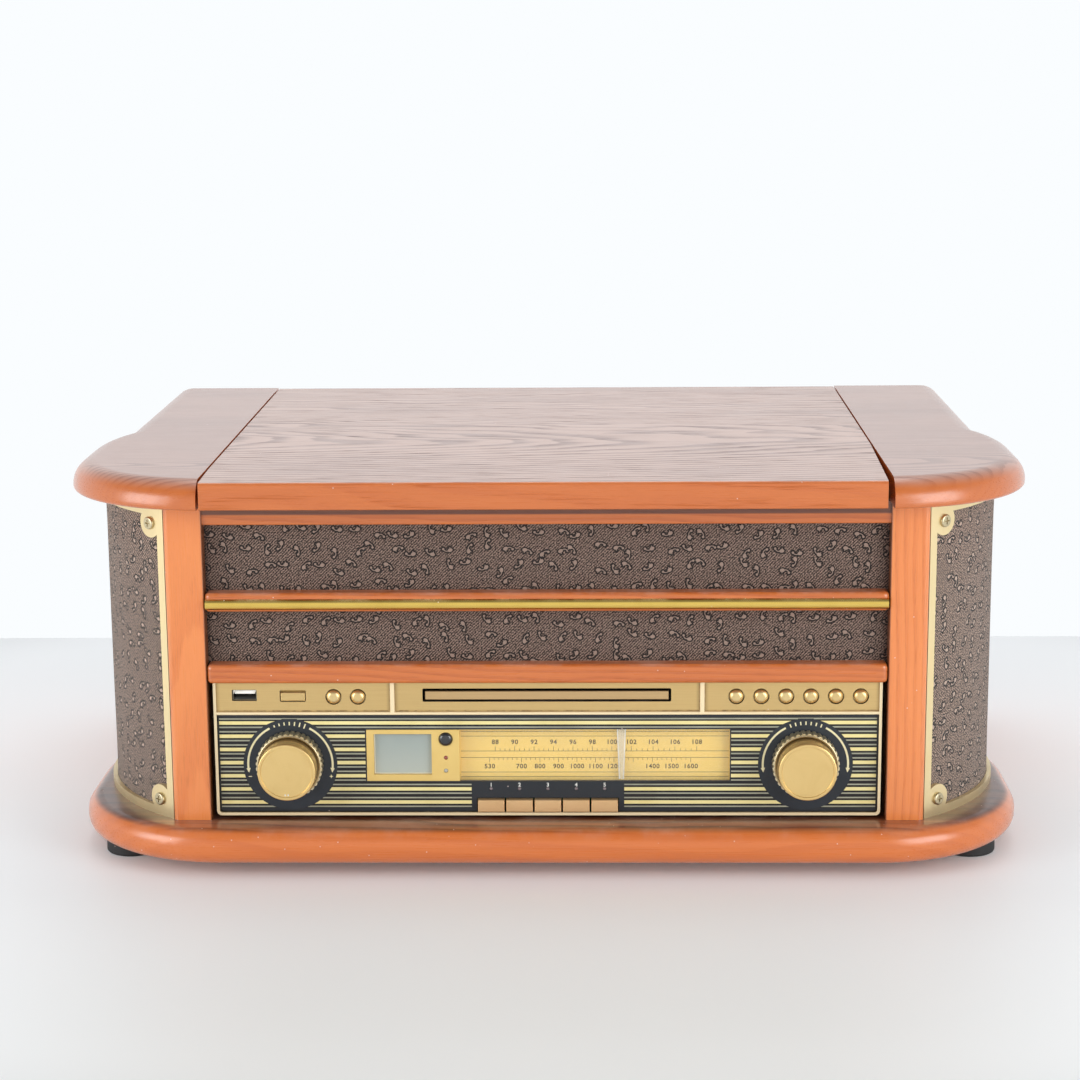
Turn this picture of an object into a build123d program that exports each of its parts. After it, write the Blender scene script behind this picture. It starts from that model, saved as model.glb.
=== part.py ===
from build123d import *
from math import acos, asin, atan, cos, degrees, hypot, radians, sin, sqrt
import os

# A stereo music centre in a wooden cabinet: record player under the lid, CD tray, radio
# and USB in front, a speaker behind cloth in each rounded front corner.
# Millimetres. X to the right, Y to the back, Z up. The origin is on the floor,
# under the middle of the outer box.

# ---- cabinet boards, seen from above ----
plan_width = 523.0
plan_depth = 342.0
corner_radius = 85.0  # rounded front corners
wing_flat = 34.0  # straight stretch at the widest place
wing_radius = 125.0  # arc from there back to the waist
waist_inset = 11.1  # from the widest place in to the straight rear
waist_fillet = 20.0
front_overhang = 21.0  # from the boards' front edge back to the posts

# ---- cabinet heights ----
foot_height = 8.0
base_thickness = 19.5
body_height = 175.0
side_board_thickness = 15.5
lid_thickness = 14.7
base_rounding = 8.6
board_top_rounding = 12.5
board_bottom_rounding = 2.2

# ---- cabinet walls ----
bay_width = 81.5  # from the widest place in to the front panel
post_gap = 2.5  # between the panel and the posts
post_width = 20.7
post_depth = 22.0
post_rounding = 3.0
post_inner_rounding = 1.0
side_panel_inset = 19.5  # inside the widest place
side_panel_thickness = 12.0
inner_wall_inset = 4.0  # inside the front panel's edge
inner_wall_thickness = 6.0
deck_ledge = 8.0
rear_panel_thickness = 4.5
panel_screw_heights = (0.1, 0.37, 0.64, 0.9)  # as parts of the body's height
vent_x = 70.0
vent_row = 73.0  # above the base board
vent_count = 8
vent_pitch = 9.0
vent_width = 3.0
vent_height = 34.0
well_depth = 45.0  # from the walls' top down to the turntable deck
deck_thickness = 3.0

# ---- lid ----
side_board_offset = 1.7  # outside the front panel's edge
lid_side_gap = 0.7
lid_rest_gap = 0.3
left_pinch = 0.9
left_pinch_length = 45.0
right_pinch = 3.0
right_pinch_length = 115.0
lid_rounding = 2.0

# ---- hinges ----
hinge_inset = 61.0  # from the lid's edge in to each hinge
hinge_width = 42.0
hinge_leaf_height = 13.0
hinge_leaf_thickness = 1.2
knuckle_radius = 2.3
hinge_pin_radius = 1.1
hinge_axis_offset = 2.5  # behind the rear faces of lid and panel
leaf_gap = 0.3  # from the hinge's axis to each leaf
knuckle_gap = 0.25
leaf_hole_radius = 1.6
leaf_hole_pitch = 30.0
leaf_hole_inset = 3.0

# ---- rails and cloth between the posts ----
cloth_setback = 8.0
cloth_thickness = 0.7
cloth_board_thickness = 3.0
top_rail_height = 12.0
top_rail_setback = 2.0
rail_proud = 1.0
middle_rail_bottom = 116.2  # above the base board
middle_rail_height = 10.3
lower_rail_bottom = 76.6
lower_rail_height = 10.5
rail_end_gap = 0.3
rail_rounding = 3.0
inlay_bottom = 1.4  # above the middle rail's underside
inlay_height = 5.8
inlay_proud = 1.6
inlay_groove_depth = 2.0
inlay_end_gap = 0.5

# ---- speaker corners ----
grille_setback = 8.5  # inside the boards' wing arc
grille_frame_thickness = 2.4
grille_bar = 4.75
grille_top_bar = 7.4
grille_end_gap = 0.3
grille_cloth_thickness = 1.4
ear_radius = 8.0
ear_inset = 10.1
low_ear_height = 9.5
high_ear_drop = 11.8
baffle_thickness = 9.0
speaker_radius = 50.0
cone_radius = 41.0
cone_thickness = 0.8
cone_edge_gap = 0.9
basket_thickness = 1.6
basket_rim = 3.0
flange_thickness = 3.0
coil_radius = 12.0
magnet_radius = 22.0
magnet_thickness = 9.0
speaker_depth = 29.0
speaker_gap = 0.3

# ---- screws ----
screw_head_radius = 3.5
screw_head_height = 1.7
screw_head_rounding = 0.9
screw_shank_radius = 1.4
recess_width = 0.7
recess_depth = 0.9
grille_screw_length = 9.5
panel_screw_length = 12.0

# ---- front bezel ----
panel_setback = 4.6  # behind the posts' front
bezel_depth = 14.0
bezel_foot_gap = 1.6
bezel_wall = 1.5
bezel_plate = 2.5
bezel_corner = 2.6
rim_proud = 1.2
bezel_feet = 4
bezel_foot_width = 12.0
window_top = 58.1  # above the base board
ledge_height = 1.7
ledge_proud = 1.4
divider_width = 2.4
divider_proud = 1.4
divider_rounding = 0.5
left_divider_gap = 16.25  # from the CD slot to the divider beside it
right_divider_gap = 16.65
control_row = 68.0  # height of the button row above the base board
slot_row = 68.9  # height of the CD slot and the USB socket
key_row = 68.1  # height of the power key

# ---- fascia, display and tuning scale ----
fascia_recess = 1.2
fascia_thickness = 2.0
panel_gap = 0.2  # between the fascia, its window and the bezel
display_gap = 0.1
display_plate_proud = 0.5
knob_inset = 40.7  # from the panel's edge
knob_height = 30.9
bushing_radius = 4.4
bushing_gap = 0.2
display_left = -97.9
display_right = -47.4
scale_right = 98.8
display_bottom = 20.3
display_height = 29.1
lcd_left = -93.9
lcd_width = 31.3
lcd_bottom = 24.0
lcd_height = 22.9
lcd_margin = 2.0
lcd_thickness = 3.0
lcd_pane = 0.6  # how far its glass stands in the display plate
sensor_x = -54.9
sensor_height = 44.0
sensor_radius = 3.8
sensor_proud = 1.6
lamp_radius = 1.1
lamp_proud = 0.3
lamp_body = 3.0  # behind the fascia
mode_lamp_radius = 0.9
mode_lamp_proud = -0.4
lamp_heights = (33.6, 26.3)
window_thickness = 1.2
needle_gap = 1.0
needle_thickness = 1.4
needle_top_width = 5.0
needle_foot_width = 2.8
needle_x = 40.2
needle_foot_gap = 0.4
scale_thickness = 1.2
scale_margin = 1.5
scale_ear_thickness = 2.0
scale_ear_gap = 0.8
guide_rod_radius = 1.5
guide_rod_back = 2.0  # behind the needle's front
guide_rod_lift = 5.0  # above the display
carriage_half_width = 5.0
carriage_half_height = 3.0
running_gap = 0.08

# ---- knobs ----
knob_skirt_radius = 18.0
knob_skirt_length = 7.2
knob_ring_radius = 17.4
knob_cap_radius = 15.9
knob_cap_length = 11.7
knob_back_gap = 0.6
knob_flutes = 36
flute_radius = 0.9
flute_bite = 0.6
knob_shaft_radius = 3.0
shaft_end_gap = 1.0
cap_taper = 0.3
cap_rounding = 0.6
cap_rim = 1.9
cap_dish = 0.4
ring_height = 0.8
ring_width = 1.0

# ---- mode keys ----
key_count = 5
key_pitch = 15.4
key_width = 14.4
key_height = 6.8
key_row_centre = 0.25
key_proud = 1.5
key_travel = 2.5
key_lamp_height = 15.9
key_tail = 3.0
key_rounding = 0.5
key_side_gap = 0.3
press_gap = 0.5  # left behind a key or button when it is pressed

# ---- round buttons, power key, USB and CD slot ----
button_radius = 3.9
button_gap = 0.5
button_proud = 1.8
button_travel = 1.5
button_flange = 1.0
button_flange_height = 1.2
flange_gap = 0.3
left_button_inset = 65.0  # from the panel's left edge to the first
left_button_count = 2
left_button_pitch = 13.2
right_button_inset = 11.4  # from the panel's right edge to the last
right_button_count = 6
right_button_pitch = 13.34
power_key_inset = 43.0
power_key_width = 13.2
power_key_height = 4.8
power_key_gap = 0.45
power_key_top_gap = 1.3
power_key_stem = (4.0, 3.0)
slot_corner = 0.8
usb_inset = 16.8
usb_width = 13.1
usb_height = 5.9
usb_wall = 0.4
usb_gap = 0.2
usb_setback = 1.5
usb_tongue_height = 1.8
usb_tongue_setback = 2.2
usb_corner = 0.5
cd_slot_width = 133.9
cd_slot_height = 7.4
tray_front_width = 131.3
tray_front_height = 4.8
tray_length = 140.0
tray_front_thickness = 2.0
tray_setback = 1.0
tray_gap = 0.4
tray_lift = 0.8  # above the slot's lower edge
tray_edge = 1.0
disc_radius = 60.5
disc_recess = 1.8
disc_setback = 3.0
mechanism_width = 148.0
mechanism_depth = 175.0
mechanism_wall = 2.4
mechanism_margin = 8.0  # above and below the tray
mechanism_gap = 0.3
leg_width = 10.0

# ---- circuit boards ----
board_thickness = 1.6
board_edge_gap = 1.0
board_notch_gap = 3.0
pot_radius = 8.0
pot_gap = 0.05
pot_front_gap = 2.5
main_board_side_gap = 10.0  # from the CD player's side
main_board_wall_gap = 8.0  # from the ledge under the deck
main_board_y = (-70.0, 60.0)
standoff_height = 8.0
standoff_radius = 3.0
standoff_inset = 6.0
heatsink_height = 40.0
heatsink_thickness = 3.0
heatsink_inset = 5.0
fin_count = 8
fin_depth = 14.0
fin_thickness = 1.6

# ---- power transformer ----
transformer_side_gap = 1.0  # from the ledge under the deck
transformer_front_gap = 1.5  # behind the CD player
core_width = 60.0
core_depth = 30.0
core_height = 50.0
core_foot = 12.0
core_foot_thickness = 2.0
coil_margin = 11.0
coil_proud = 12.0
transformer_gap = 0.1

# ---- turntable ----
deck_gap = 0.5
deck_corner = 3.0
platter_x = -22.0
platter_radius = 100.0
platter_height = 8.0
platter_lift = 1.5
platter_plate = 2.5
platter_skirt = 4.0
platter_rounding = 1.0
hub_radius = 11.0
belt_rim_radius = 60.0
belt_rim_thickness = 2.0
mat_thickness = 2.0
mat_edge = 2.0
mat_hole_gap = 1.0
spindle_radius = 3.6
spindle_height = 11.0
spindle_rounding = 1.2
bearing_radius = 10.0
bearing_depth = 12.0
bearing_lip = 1.1
bearing_floor = 1.5
shaft_bottom_gap = 1.0

# ---- motor and belt ----
motor_distance = 80.0
motor_angle = 215.0
motor_radius = 17.0
motor_height = 25.0
motor_rounding = 2.0
motor_shaft_radius = 1.2
motor_shaft_length = 9.0
motor_shaft_gap = 1.0
pulley_radius = 4.0
pulley_flange_radius = 6.0
pulley_flange = 0.7
pulley_groove_height = 4.0
belt_lift = 2.0
belt_thickness = 0.8
belt_height = 3.4
belt_gap = 0.3

# ---- speed switch ----
switch_inset = 30.0  # from the inner wall
switch_room = 34.4  # from the well's front
switch_travel = 5.0
switch_knob = (10.0, 6.0, 4.0)
switch_stem_width = 4.0
switch_stem_depth = 2.4
switch_plate = (10.0, 8.0, 2.0)
switch_gap = 0.3
switch_rounding = 0.8

# ---- tonearm ----
arm_pivot_inset = 34.0  # from the inner wall
arm_pivot_room = 47.4  # in front of the rear panel
arm_length = 208.0
arm_tube_radius = 3.0
arm_base_radius = 15.0
arm_base_height = 12.0
arm_base_rounding = 1.5
arm_base_floor = 1.0
arm_shaft_radius = 4.0
arm_rest_reach = 150.0
arm_rest_half_depth = 4.0
arm_rest_inner = 5.0
arm_rest_outer = 9.0
arm_rest_stop = 2.0
yoke_gap = 0.3
yoke_edge = 2.0
yoke_flange = 3.0
upright_thickness = 3.0
upright_half_depth = 5.0
upright_top = 4.0
block_half_width = 7.5
block_half_depth = 8.0
block_half_height = 5.0
block_side_gap = 0.5
block_rounding = 1.0
arm_pin_radius = 1.5
stub_radius = 2.5
counterweight_radius = 9.0
counterweight_length = 14.0
counterweight_centre = 28.0
headshell_length = 26.0
headshell_width = 15.0
headshell_thickness = 2.2
headshell_angle = 22.0
headshell_corner = 2.0
headshell_drop = 2.0  # its top below the arm's axis
cartridge_width = 10.5
cartridge_length = 17.0
cartridge_height = 7.0
cartridge_gap = 0.1
stylus_width = 2.4
stylus_length = 3.0
stylus_forward = 4.7
stylus_tip = 0.13
stylus_drop = 12.6  # from the arm's axis to the stylus
stylus_gap = 0.4
record_thickness = 2.0

# ---- feet ----
foot_radius = 15.0
foot_rounding = 1.5
foot_plug_radius = 4.0
foot_plug_height = 7.0
front_foot_side_inset = 29.5
front_foot_inset = 54.0
rear_foot_side_inset = 35.5
rear_foot_inset = 34.0

# ---- rear sockets ----
socket_plate_inset = 44.0  # from the inner wall
socket_row = 40.0  # above the base board
socket_plate_width = 62.0
socket_plate_height = 30.0
socket_plate_thickness = 2.0
socket_plate_corner = 2.0
socket_cut_margin = 5.0
inlet_x = 14.0  # to the viewer's right of the plate's middle
inlet_width = 16.6
inlet_height = 8.6
inlet_corner = 3.0
inlet_wall = 1.5
inlet_depth = 13.0
inlet_pin_radius = 1.2
inlet_pin_pitch = 8.6
inlet_pin_length = 10.0
jack_x = -20.0
jack_body_radius = 4.6
jack_bore_radius = 1.8
jack_bore_length = 14.0
phono_x = -7.0
phono_radius = 4.2
phono_hole_radius = 1.7
phono_proud = 2.6
phono_pitch = 11.0

# how far a cut reaches past the faces that it goes through
overshoot = 1.0
# length of the cutters that go through the curved frames and the boards behind them
cutter_length = 40.0

# ---- places worked out from these ----
half_width = plan_width / 2
front_edge = -(plan_depth + hinge_axis_offset + knuckle_radius) / 2
rear_edge = front_edge + plan_depth
corner_centre_x = half_width - corner_radius
corner_centre_y = front_edge + corner_radius
wing_centre_x = half_width - wing_radius
wing_centre_y = corner_centre_y + wing_flat
waist_half_width = half_width - waist_inset
wing_sweep = degrees(acos((waist_half_width - wing_centre_x) / wing_radius))

base_top = foot_height + base_thickness
body_top = base_top + body_height
deck_top = body_top - well_depth
deck_bottom = deck_top - deck_thickness
bezel_half_width = half_width - bay_width
side_board_inner_half = bezel_half_width + side_board_offset
lid_bottom = body_top + lid_rest_gap
lid_half_width = side_board_inner_half - lid_side_gap
hinge_half_spacing = lid_half_width - hinge_inset

post_front = front_edge + front_overhang
post_rear = post_front + post_depth
post_inner_half = bezel_half_width + post_gap
post_outer_half = post_inner_half + post_width
cloth_front = post_front + cloth_setback
well_front = cloth_front + cloth_thickness + cloth_board_thickness
well_rear = rear_edge - rear_panel_thickness
side_panel_half_width = half_width - side_panel_inset
side_panel_inner_half = side_panel_half_width - side_panel_thickness
inner_wall_half = bezel_half_width - inner_wall_inset
inner_wall_outer_half = inner_wall_half + inner_wall_thickness

hinge_axis_y = rear_edge + hinge_axis_offset
hinge_axis_z = body_top + lid_rest_gap / 2

rail_bottom = base_top + lower_rail_bottom
middle_bottom = base_top + middle_rail_bottom
rail_front = post_front - rail_proud
rail_half_length = post_inner_half - rail_end_gap

grille_radius = wing_radius - grille_setback
grille_inner_radius = grille_radius - grille_frame_thickness
side_panel_front = wing_centre_y + sqrt(
    grille_radius**2 - (side_panel_half_width - wing_centre_x) ** 2
)
grille_edge_x = post_outer_half + grille_end_gap
grille_start = -degrees(acos((grille_edge_x - wing_centre_x) / grille_radius))
grille_end = degrees(asin((side_panel_front - grille_end_gap - wing_centre_y) / grille_radius))
cloth_outer_radius = grille_inner_radius - 0.1
cloth_inner_radius = cloth_outer_radius - grille_cloth_thickness
baffle_radius = cloth_inner_radius - speaker_gap
basket_radius = cone_radius + basket_rim

panel_face = post_front + panel_setback
bezel_back = panel_face + bezel_depth
bezel_bottom = base_top + bezel_foot_gap
window_bottom = bezel_bottom + bezel_wall
window_top_z = base_top + window_top
fascia_front = panel_face + fascia_recess
fascia_back = fascia_front + fascia_thickness
fascia_half_width = bezel_half_width - bezel_wall - panel_gap
control_z = base_top + control_row
slot_z = base_top + slot_row
knob_x = bezel_half_width - knob_inset
knob_z = base_top + knob_height
left_divider_x = -cd_slot_width / 2 - left_divider_gap
right_divider_x = cd_slot_width / 2 + right_divider_gap
power_key_x = -bezel_half_width + power_key_inset
usb_x = -bezel_half_width + usb_inset
display_z = base_top + display_bottom
key_z = window_bottom + key_side_gap + key_height / 2
pane_front = fascia_front + panel_gap
needle_front = pane_front + window_thickness + needle_gap
scale_front = needle_front + needle_thickness + needle_gap

platter_y = (well_front + well_rear) / 2
platter_bottom = deck_top + platter_lift
platter_top = platter_bottom + platter_height
mat_top = platter_top + mat_thickness
arm_pivot_x = inner_wall_half - arm_pivot_inset
arm_pivot_y = well_rear - arm_pivot_room
stylus_z = mat_top + record_thickness + stylus_gap


def facing(y):
    # A plane that faces the front at depth y: its own axes are X and Z.
    return Plane.XZ.offset(-y)


def block(x, y, z, mode=Mode.ADD):
    # A box given by its low and high faces.
    centre = ((x[0] + x[1]) / 2, (y[0] + y[1]) / 2, (z[0] + z[1]) / 2)
    with Locations(centre):
        Box(x[1] - x[0], y[1] - y[0], z[1] - z[0], mode=mode)


def save(piece, label):
    piece.part.label = label
    export_step(piece.part, f"parts/{label}.step")


os.makedirs("parts", exist_ok=True)


# ---- base board and top boards ----
def draw_plan_outline():
    # The outline that the base board and the top boards share: a straight front, round
    # corners, a wing at each side and a narrower straight rear.
    with BuildLine() as half:
        front = Line((0, front_edge), (corner_centre_x, front_edge))
        corner = CenterArc((corner_centre_x, corner_centre_y), corner_radius, -90, 90)
        side = Line(corner @ 1, (half_width, wing_centre_y))
        wing = CenterArc((wing_centre_x, wing_centre_y), wing_radius, 0, wing_sweep)
        waist = Line(wing @ 1, (waist_half_width, rear_edge))
        rear = Line(waist @ 1, (0, rear_edge))
        Line(rear @ 1, front @ 0)
    make_face(half.edges())
    kink = vertices().sort_by_distance(wing @ 1)[0]
    fillet(kink, waist_fillet)
    mirror(about=Plane.YZ)


def front_and_side_edges(group):
    # The edges that can be seen, without the rear ones.
    rim = edges().group_by(Axis.Z)[group]
    return rim.filter_by(lambda edge: edge.center().Y < rear_edge - 1)


foot_places = [
    (side * x, y)
    for side in (-1, 1)
    for x, y in (
        (half_width - front_foot_side_inset, front_edge + front_foot_inset),
        (half_width - rear_foot_side_inset, rear_edge - rear_foot_inset),
    )
]


with BuildPart() as base_board:
    with BuildSketch(Plane.XY.offset(foot_height)):
        draw_plan_outline()
    extrude(amount=base_thickness)
    fillet(front_and_side_edges(0) + front_and_side_edges(-1), base_rounding)
    with BuildSketch(Plane.XY.offset(foot_height)):
        with Locations(*foot_places):
            Circle(foot_plug_radius + running_gap)
    extrude(amount=foot_plug_height + running_gap, mode=Mode.SUBTRACT)
save(base_board, "base_board")

with BuildPart() as rubber_feet:
    with BuildSketch():
        with Locations(*foot_places):
            Circle(foot_radius)
    extrude(amount=foot_height)
    fillet(edges().group_by(Axis.Z)[0], foot_rounding)
    with BuildSketch(Plane.XY.offset(foot_height)):
        with Locations(*foot_places):
            Circle(foot_plug_radius)
    extrude(amount=foot_plug_height)
save(rubber_feet, "rubber_feet")

with BuildPart() as side_top_boards:
    with BuildSketch(Plane.XY.offset(body_top)):
        draw_plan_outline()
        with Locations((side_board_inner_half, 0)):
            Rectangle(
                plan_width, 2 * plan_depth, align=(Align.MIN, Align.CENTER), mode=Mode.INTERSECT
            )
    extrude(amount=side_board_thickness)
    outer_top = front_and_side_edges(-1).filter_by(
        lambda edge: edge.center().X > side_board_inner_half + 1
    )
    fillet(outer_top, board_top_rounding)
    outer_bottom = front_and_side_edges(0).filter_by(
        lambda edge: edge.center().X > side_board_inner_half + 1
    )
    fillet(outer_bottom, board_bottom_rounding)
    mirror(about=Plane.YZ)
save(side_top_boards, "side_top_boards")


# ---- lid and its two butt hinges ----
with BuildPart() as lid:
    with BuildSketch(Plane.XY.offset(lid_bottom)):
        with BuildLine():
            Polyline(
                (-lid_half_width, rear_edge),
                (-lid_half_width, front_edge + left_pinch_length),
                (-lid_half_width + left_pinch, front_edge),
                (lid_half_width - right_pinch, front_edge),
                (lid_half_width, front_edge + right_pinch_length),
                (lid_half_width, rear_edge),
                close=True,
            )
        make_face()
    extrude(amount=lid_thickness)
    front_edges = edges().filter_by(Axis.X).group_by(Axis.Y)[0]
    fillet(front_edges.sort_by(Axis.Z)[-1], lid_rounding)
    fillet(edges().filter_by(Axis.X).group_by(Axis.Y)[0].sort_by(Axis.Z)[0], lid_rounding / 2)
save(lid, "lid")

knuckle_third = hinge_width / 3


def draw_hinge_leaf(x, side):
    # A flat leaf on the rear face, below the axis (side -1) or above it (side 1).
    near = hinge_axis_z + side * leaf_gap
    far = near + side * hinge_leaf_height
    block(
        (x - hinge_width / 2, x + hinge_width / 2),
        (rear_edge, rear_edge + hinge_leaf_thickness),
        (min(near, far), max(near, far)),
    )


def draw_knuckle(x, length, radius, mode=Mode.ADD):
    with BuildSketch(Plane.YZ.offset(x - length / 2)) as section:
        with Locations((hinge_axis_y, hinge_axis_z)):
            Circle(radius)
    extrude(section.sketch, amount=length, mode=mode)


with BuildPart() as hinge_fixed_leaves:
    for x in (-hinge_half_spacing, hinge_half_spacing):
        draw_hinge_leaf(x, -1)
        draw_knuckle(x, hinge_width, knuckle_radius)
        draw_knuckle(x, knuckle_third + knuckle_gap, knuckle_radius + knuckle_gap, Mode.SUBTRACT)
        draw_knuckle(x, hinge_width, hinge_pin_radius)
        with Locations(facing(rear_edge + hinge_leaf_thickness)):
            with Locations((x, hinge_axis_z - hinge_leaf_height + leaf_hole_inset)):
                with GridLocations(leaf_hole_pitch, 1, 2, 1):
                    Cylinder(leaf_hole_radius, 4 * hinge_leaf_thickness, mode=Mode.SUBTRACT)
save(hinge_fixed_leaves, "hinge_fixed_leaves")

with BuildPart() as hinge_lid_leaves:
    for x in (-hinge_half_spacing, hinge_half_spacing):
        draw_hinge_leaf(x, 1)
        for side in (-1, 1):
            outer = x + side * knuckle_third
            draw_knuckle(
                outer, knuckle_third + knuckle_gap, knuckle_radius + knuckle_gap, Mode.SUBTRACT
            )
        draw_knuckle(x, knuckle_third - knuckle_gap, knuckle_radius)
        draw_knuckle(x, hinge_width, hinge_pin_radius + running_gap, Mode.SUBTRACT)
        with Locations(facing(rear_edge + hinge_leaf_thickness)):
            with Locations((x, hinge_axis_z + hinge_leaf_height - leaf_hole_inset)):
                with GridLocations(leaf_hole_pitch, 1, 2, 1):
                    Cylinder(leaf_hole_radius, 4 * hinge_leaf_thickness, mode=Mode.SUBTRACT)
save(hinge_lid_leaves, "hinge_lid_leaves")


# ---- cabinet walls and front posts ----
with BuildPart() as front_posts:
    with BuildSketch(Plane.XY.offset(base_top)):
        with Locations((post_inner_half, post_front)):
            Rectangle(post_width, post_depth, align=Align.MIN)
        fillet(vertices().group_by(Axis.Y)[0].sort_by(Axis.X)[-1], post_rounding)
        fillet(vertices().group_by(Axis.Y)[0].sort_by(Axis.X)[0], post_inner_rounding)
    extrude(amount=body_height)
    mirror(about=Plane.YZ)
save(front_posts, "front_posts")

with BuildPart() as side_panels:
    block(
        (side_panel_inner_half, side_panel_half_width),
        (side_panel_front, rear_edge),
        (base_top, body_top),
    )
    mirror(about=Plane.YZ)
save(side_panels, "side_panels")

panel_screw_places = [
    (side * (inner_wall_half + inner_wall_outer_half) / 2, base_top + height)
    for side in (-1, 1)
    for height in [body_height * part for part in panel_screw_heights]
]

with BuildPart() as inner_walls:
    # Each wall is thicker below the deck: the step carries the deck's edge.
    block(
        (inner_wall_half, inner_wall_outer_half), (post_rear, well_rear), (base_top, body_top)
    )
    block(
        (inner_wall_half - deck_ledge, inner_wall_half),
        (post_rear, well_rear),
        (base_top, deck_bottom),
    )
    mirror(about=Plane.YZ)
    with Locations(facing(well_rear)):
        with Locations(*panel_screw_places):
            Cylinder(
                screw_shank_radius + running_gap, 2 * panel_screw_length, mode=Mode.SUBTRACT
            )
save(inner_walls, "inner_walls")

socket_plate_x = -(inner_wall_half - socket_plate_inset)
socket_plate_z = base_top + socket_row
vent_z = base_top + vent_row

with BuildPart() as rear_panel:
    block(
        (-side_panel_inner_half, side_panel_inner_half), (well_rear, rear_edge), (base_top, body_top)
    )
    with BuildSketch(facing(rear_edge)):
        with Locations((socket_plate_x, socket_plate_z)):
            Rectangle(
                socket_plate_width - 2 * socket_cut_margin,
                socket_plate_height - 2 * socket_cut_margin,
            )
        with Locations((vent_x, vent_z), (-vent_x, vent_z)):
            with GridLocations(vent_pitch, 1, vent_count, 1):
                SlotOverall(vent_height, vent_width, rotation=90)
        with Locations(*panel_screw_places):
            Circle(screw_shank_radius + running_gap)
    extrude(amount=rear_panel_thickness, mode=Mode.SUBTRACT)
save(rear_panel, "rear_panel")


# ---- rails, inlay and cloth between the posts ----
with BuildPart() as top_front_rail:
    with BuildSketch(Plane.YZ):
        with Locations((post_front + top_rail_setback, body_top - top_rail_height)):
            Rectangle(
                cloth_front - post_front - top_rail_setback, top_rail_height, align=Align.MIN
            )
    extrude(amount=post_inner_half, both=True)
    fillet(edges().filter_by(Axis.X).group_by(Axis.Y)[0].sort_by(Axis.Z)[0], 1.2)
save(top_front_rail, "top_front_rail")

rail_depth = cloth_front - rail_front


def draw_rail(bottom, height):
    # A rail with a rounded nose and rounded ends, fixed to the cloth board behind it.
    with BuildSketch(Plane.YZ) as section:
        with Locations((rail_front, bottom)):
            Rectangle(rail_depth, height, align=Align.MIN)
    extrude(section.sketch, amount=rail_half_length, both=True)
    ends = edges().filter_by(Axis.Z).group_by(Axis.Y)[0]
    fillet(ends, rail_rounding)
    nose = faces().sort_by(Axis.Y)[0].edges().filter_by(Axis.X)
    fillet(nose, rail_rounding * 0.75)


inlay_z = middle_bottom + inlay_bottom
inlay_half_length = rail_half_length - inlay_end_gap

with BuildPart() as middle_rail:
    draw_rail(middle_bottom, middle_rail_height)
    block(
        (-inlay_half_length, inlay_half_length),
        (rail_front - overshoot, rail_front + inlay_groove_depth),
        (inlay_z, inlay_z + inlay_height),
        Mode.SUBTRACT,
    )
save(middle_rail, "middle_rail")

with BuildPart() as lower_rail:
    draw_rail(rail_bottom, lower_rail_height)
save(lower_rail, "lower_rail")

with BuildPart() as brass_inlay:
    with BuildSketch(Plane.YZ):
        with BuildLine():
            low = (rail_front, inlay_z)
            high = (rail_front, inlay_z + inlay_height)
            ThreePointArc(low, (rail_front - inlay_proud, inlay_z + inlay_height / 2), high)
            back = Line(high, (rail_front + inlay_groove_depth, inlay_z + inlay_height))
            foot = Line(back @ 1, (rail_front + inlay_groove_depth, inlay_z))
            Line(foot @ 1, low)
        make_face()
    extrude(amount=inlay_half_length, both=True)
save(brass_inlay, "brass_inlay")

with BuildPart() as cloth_panel:
    span = (-post_inner_half, post_inner_half)
    block(span, (cloth_front, cloth_front + cloth_thickness), (rail_bottom, body_top))
    block(span, (cloth_front + cloth_thickness, well_front), (rail_bottom, body_top))
save(cloth_panel, "cloth_panel")


# ---- speaker corners ----
def draw_arc_band(outer, inner, start, end):
    # A curved strip about the wing's centre, between two radii and two angles.
    centre = (wing_centre_x, wing_centre_y)
    with BuildLine() as outline:
        far = CenterArc(centre, outer, start, end - start)
        near = CenterArc(centre, inner, start, end - start)
        Line(far @ 0, near @ 0)
        Line(far @ 1, near @ 1)
    make_face(outline.edges())


def radial_plane(angle, z, radius=grille_radius):
    # A plane on the grille's surface, facing straight out of it.
    out = (cos(radians(angle)), sin(radians(angle)), 0)
    origin = (wing_centre_x + radius * out[0], wing_centre_y + radius * out[1], z)
    return Plane(origin=origin, x_dir=(0, 0, 1), z_dir=out)


def trim_beside_post():
    # The curved strip ends square against the post.
    block((0, grille_edge_x), (front_edge, rear_edge), (base_top, body_top), Mode.SUBTRACT)


ear_angle = degrees(ear_inset / grille_radius)
bar_angle = degrees(grille_bar / grille_radius)
ear_planes = [
    radial_plane(angle, z)
    for angle in (grille_start + ear_angle, grille_end - ear_angle)
    for z in (base_top + low_ear_height, body_top - high_ear_drop)
]

with BuildPart() as grille_window:
    # What is cut out of the frame: its window, less the four ears.
    with BuildSketch(Plane.XY.offset(base_top + grille_bar)):
        draw_arc_band(
            grille_radius + 5,
            grille_inner_radius - 5,
            grille_start + bar_angle,
            grille_end - bar_angle,
        )
    extrude(amount=body_height - grille_bar - grille_top_bar)
    with Locations(*ear_planes):
        Cylinder(ear_radius, cutter_length, mode=Mode.SUBTRACT)
    for angle in (grille_start + ear_angle / 2, grille_end - ear_angle / 2):
        with Locations(radial_plane(angle, base_top + low_ear_height / 2)):
            Box(low_ear_height, ear_inset, cutter_length, mode=Mode.SUBTRACT)
        with Locations(radial_plane(angle, body_top - high_ear_drop / 2)):
            Box(high_ear_drop, ear_inset, cutter_length, mode=Mode.SUBTRACT)

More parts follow.
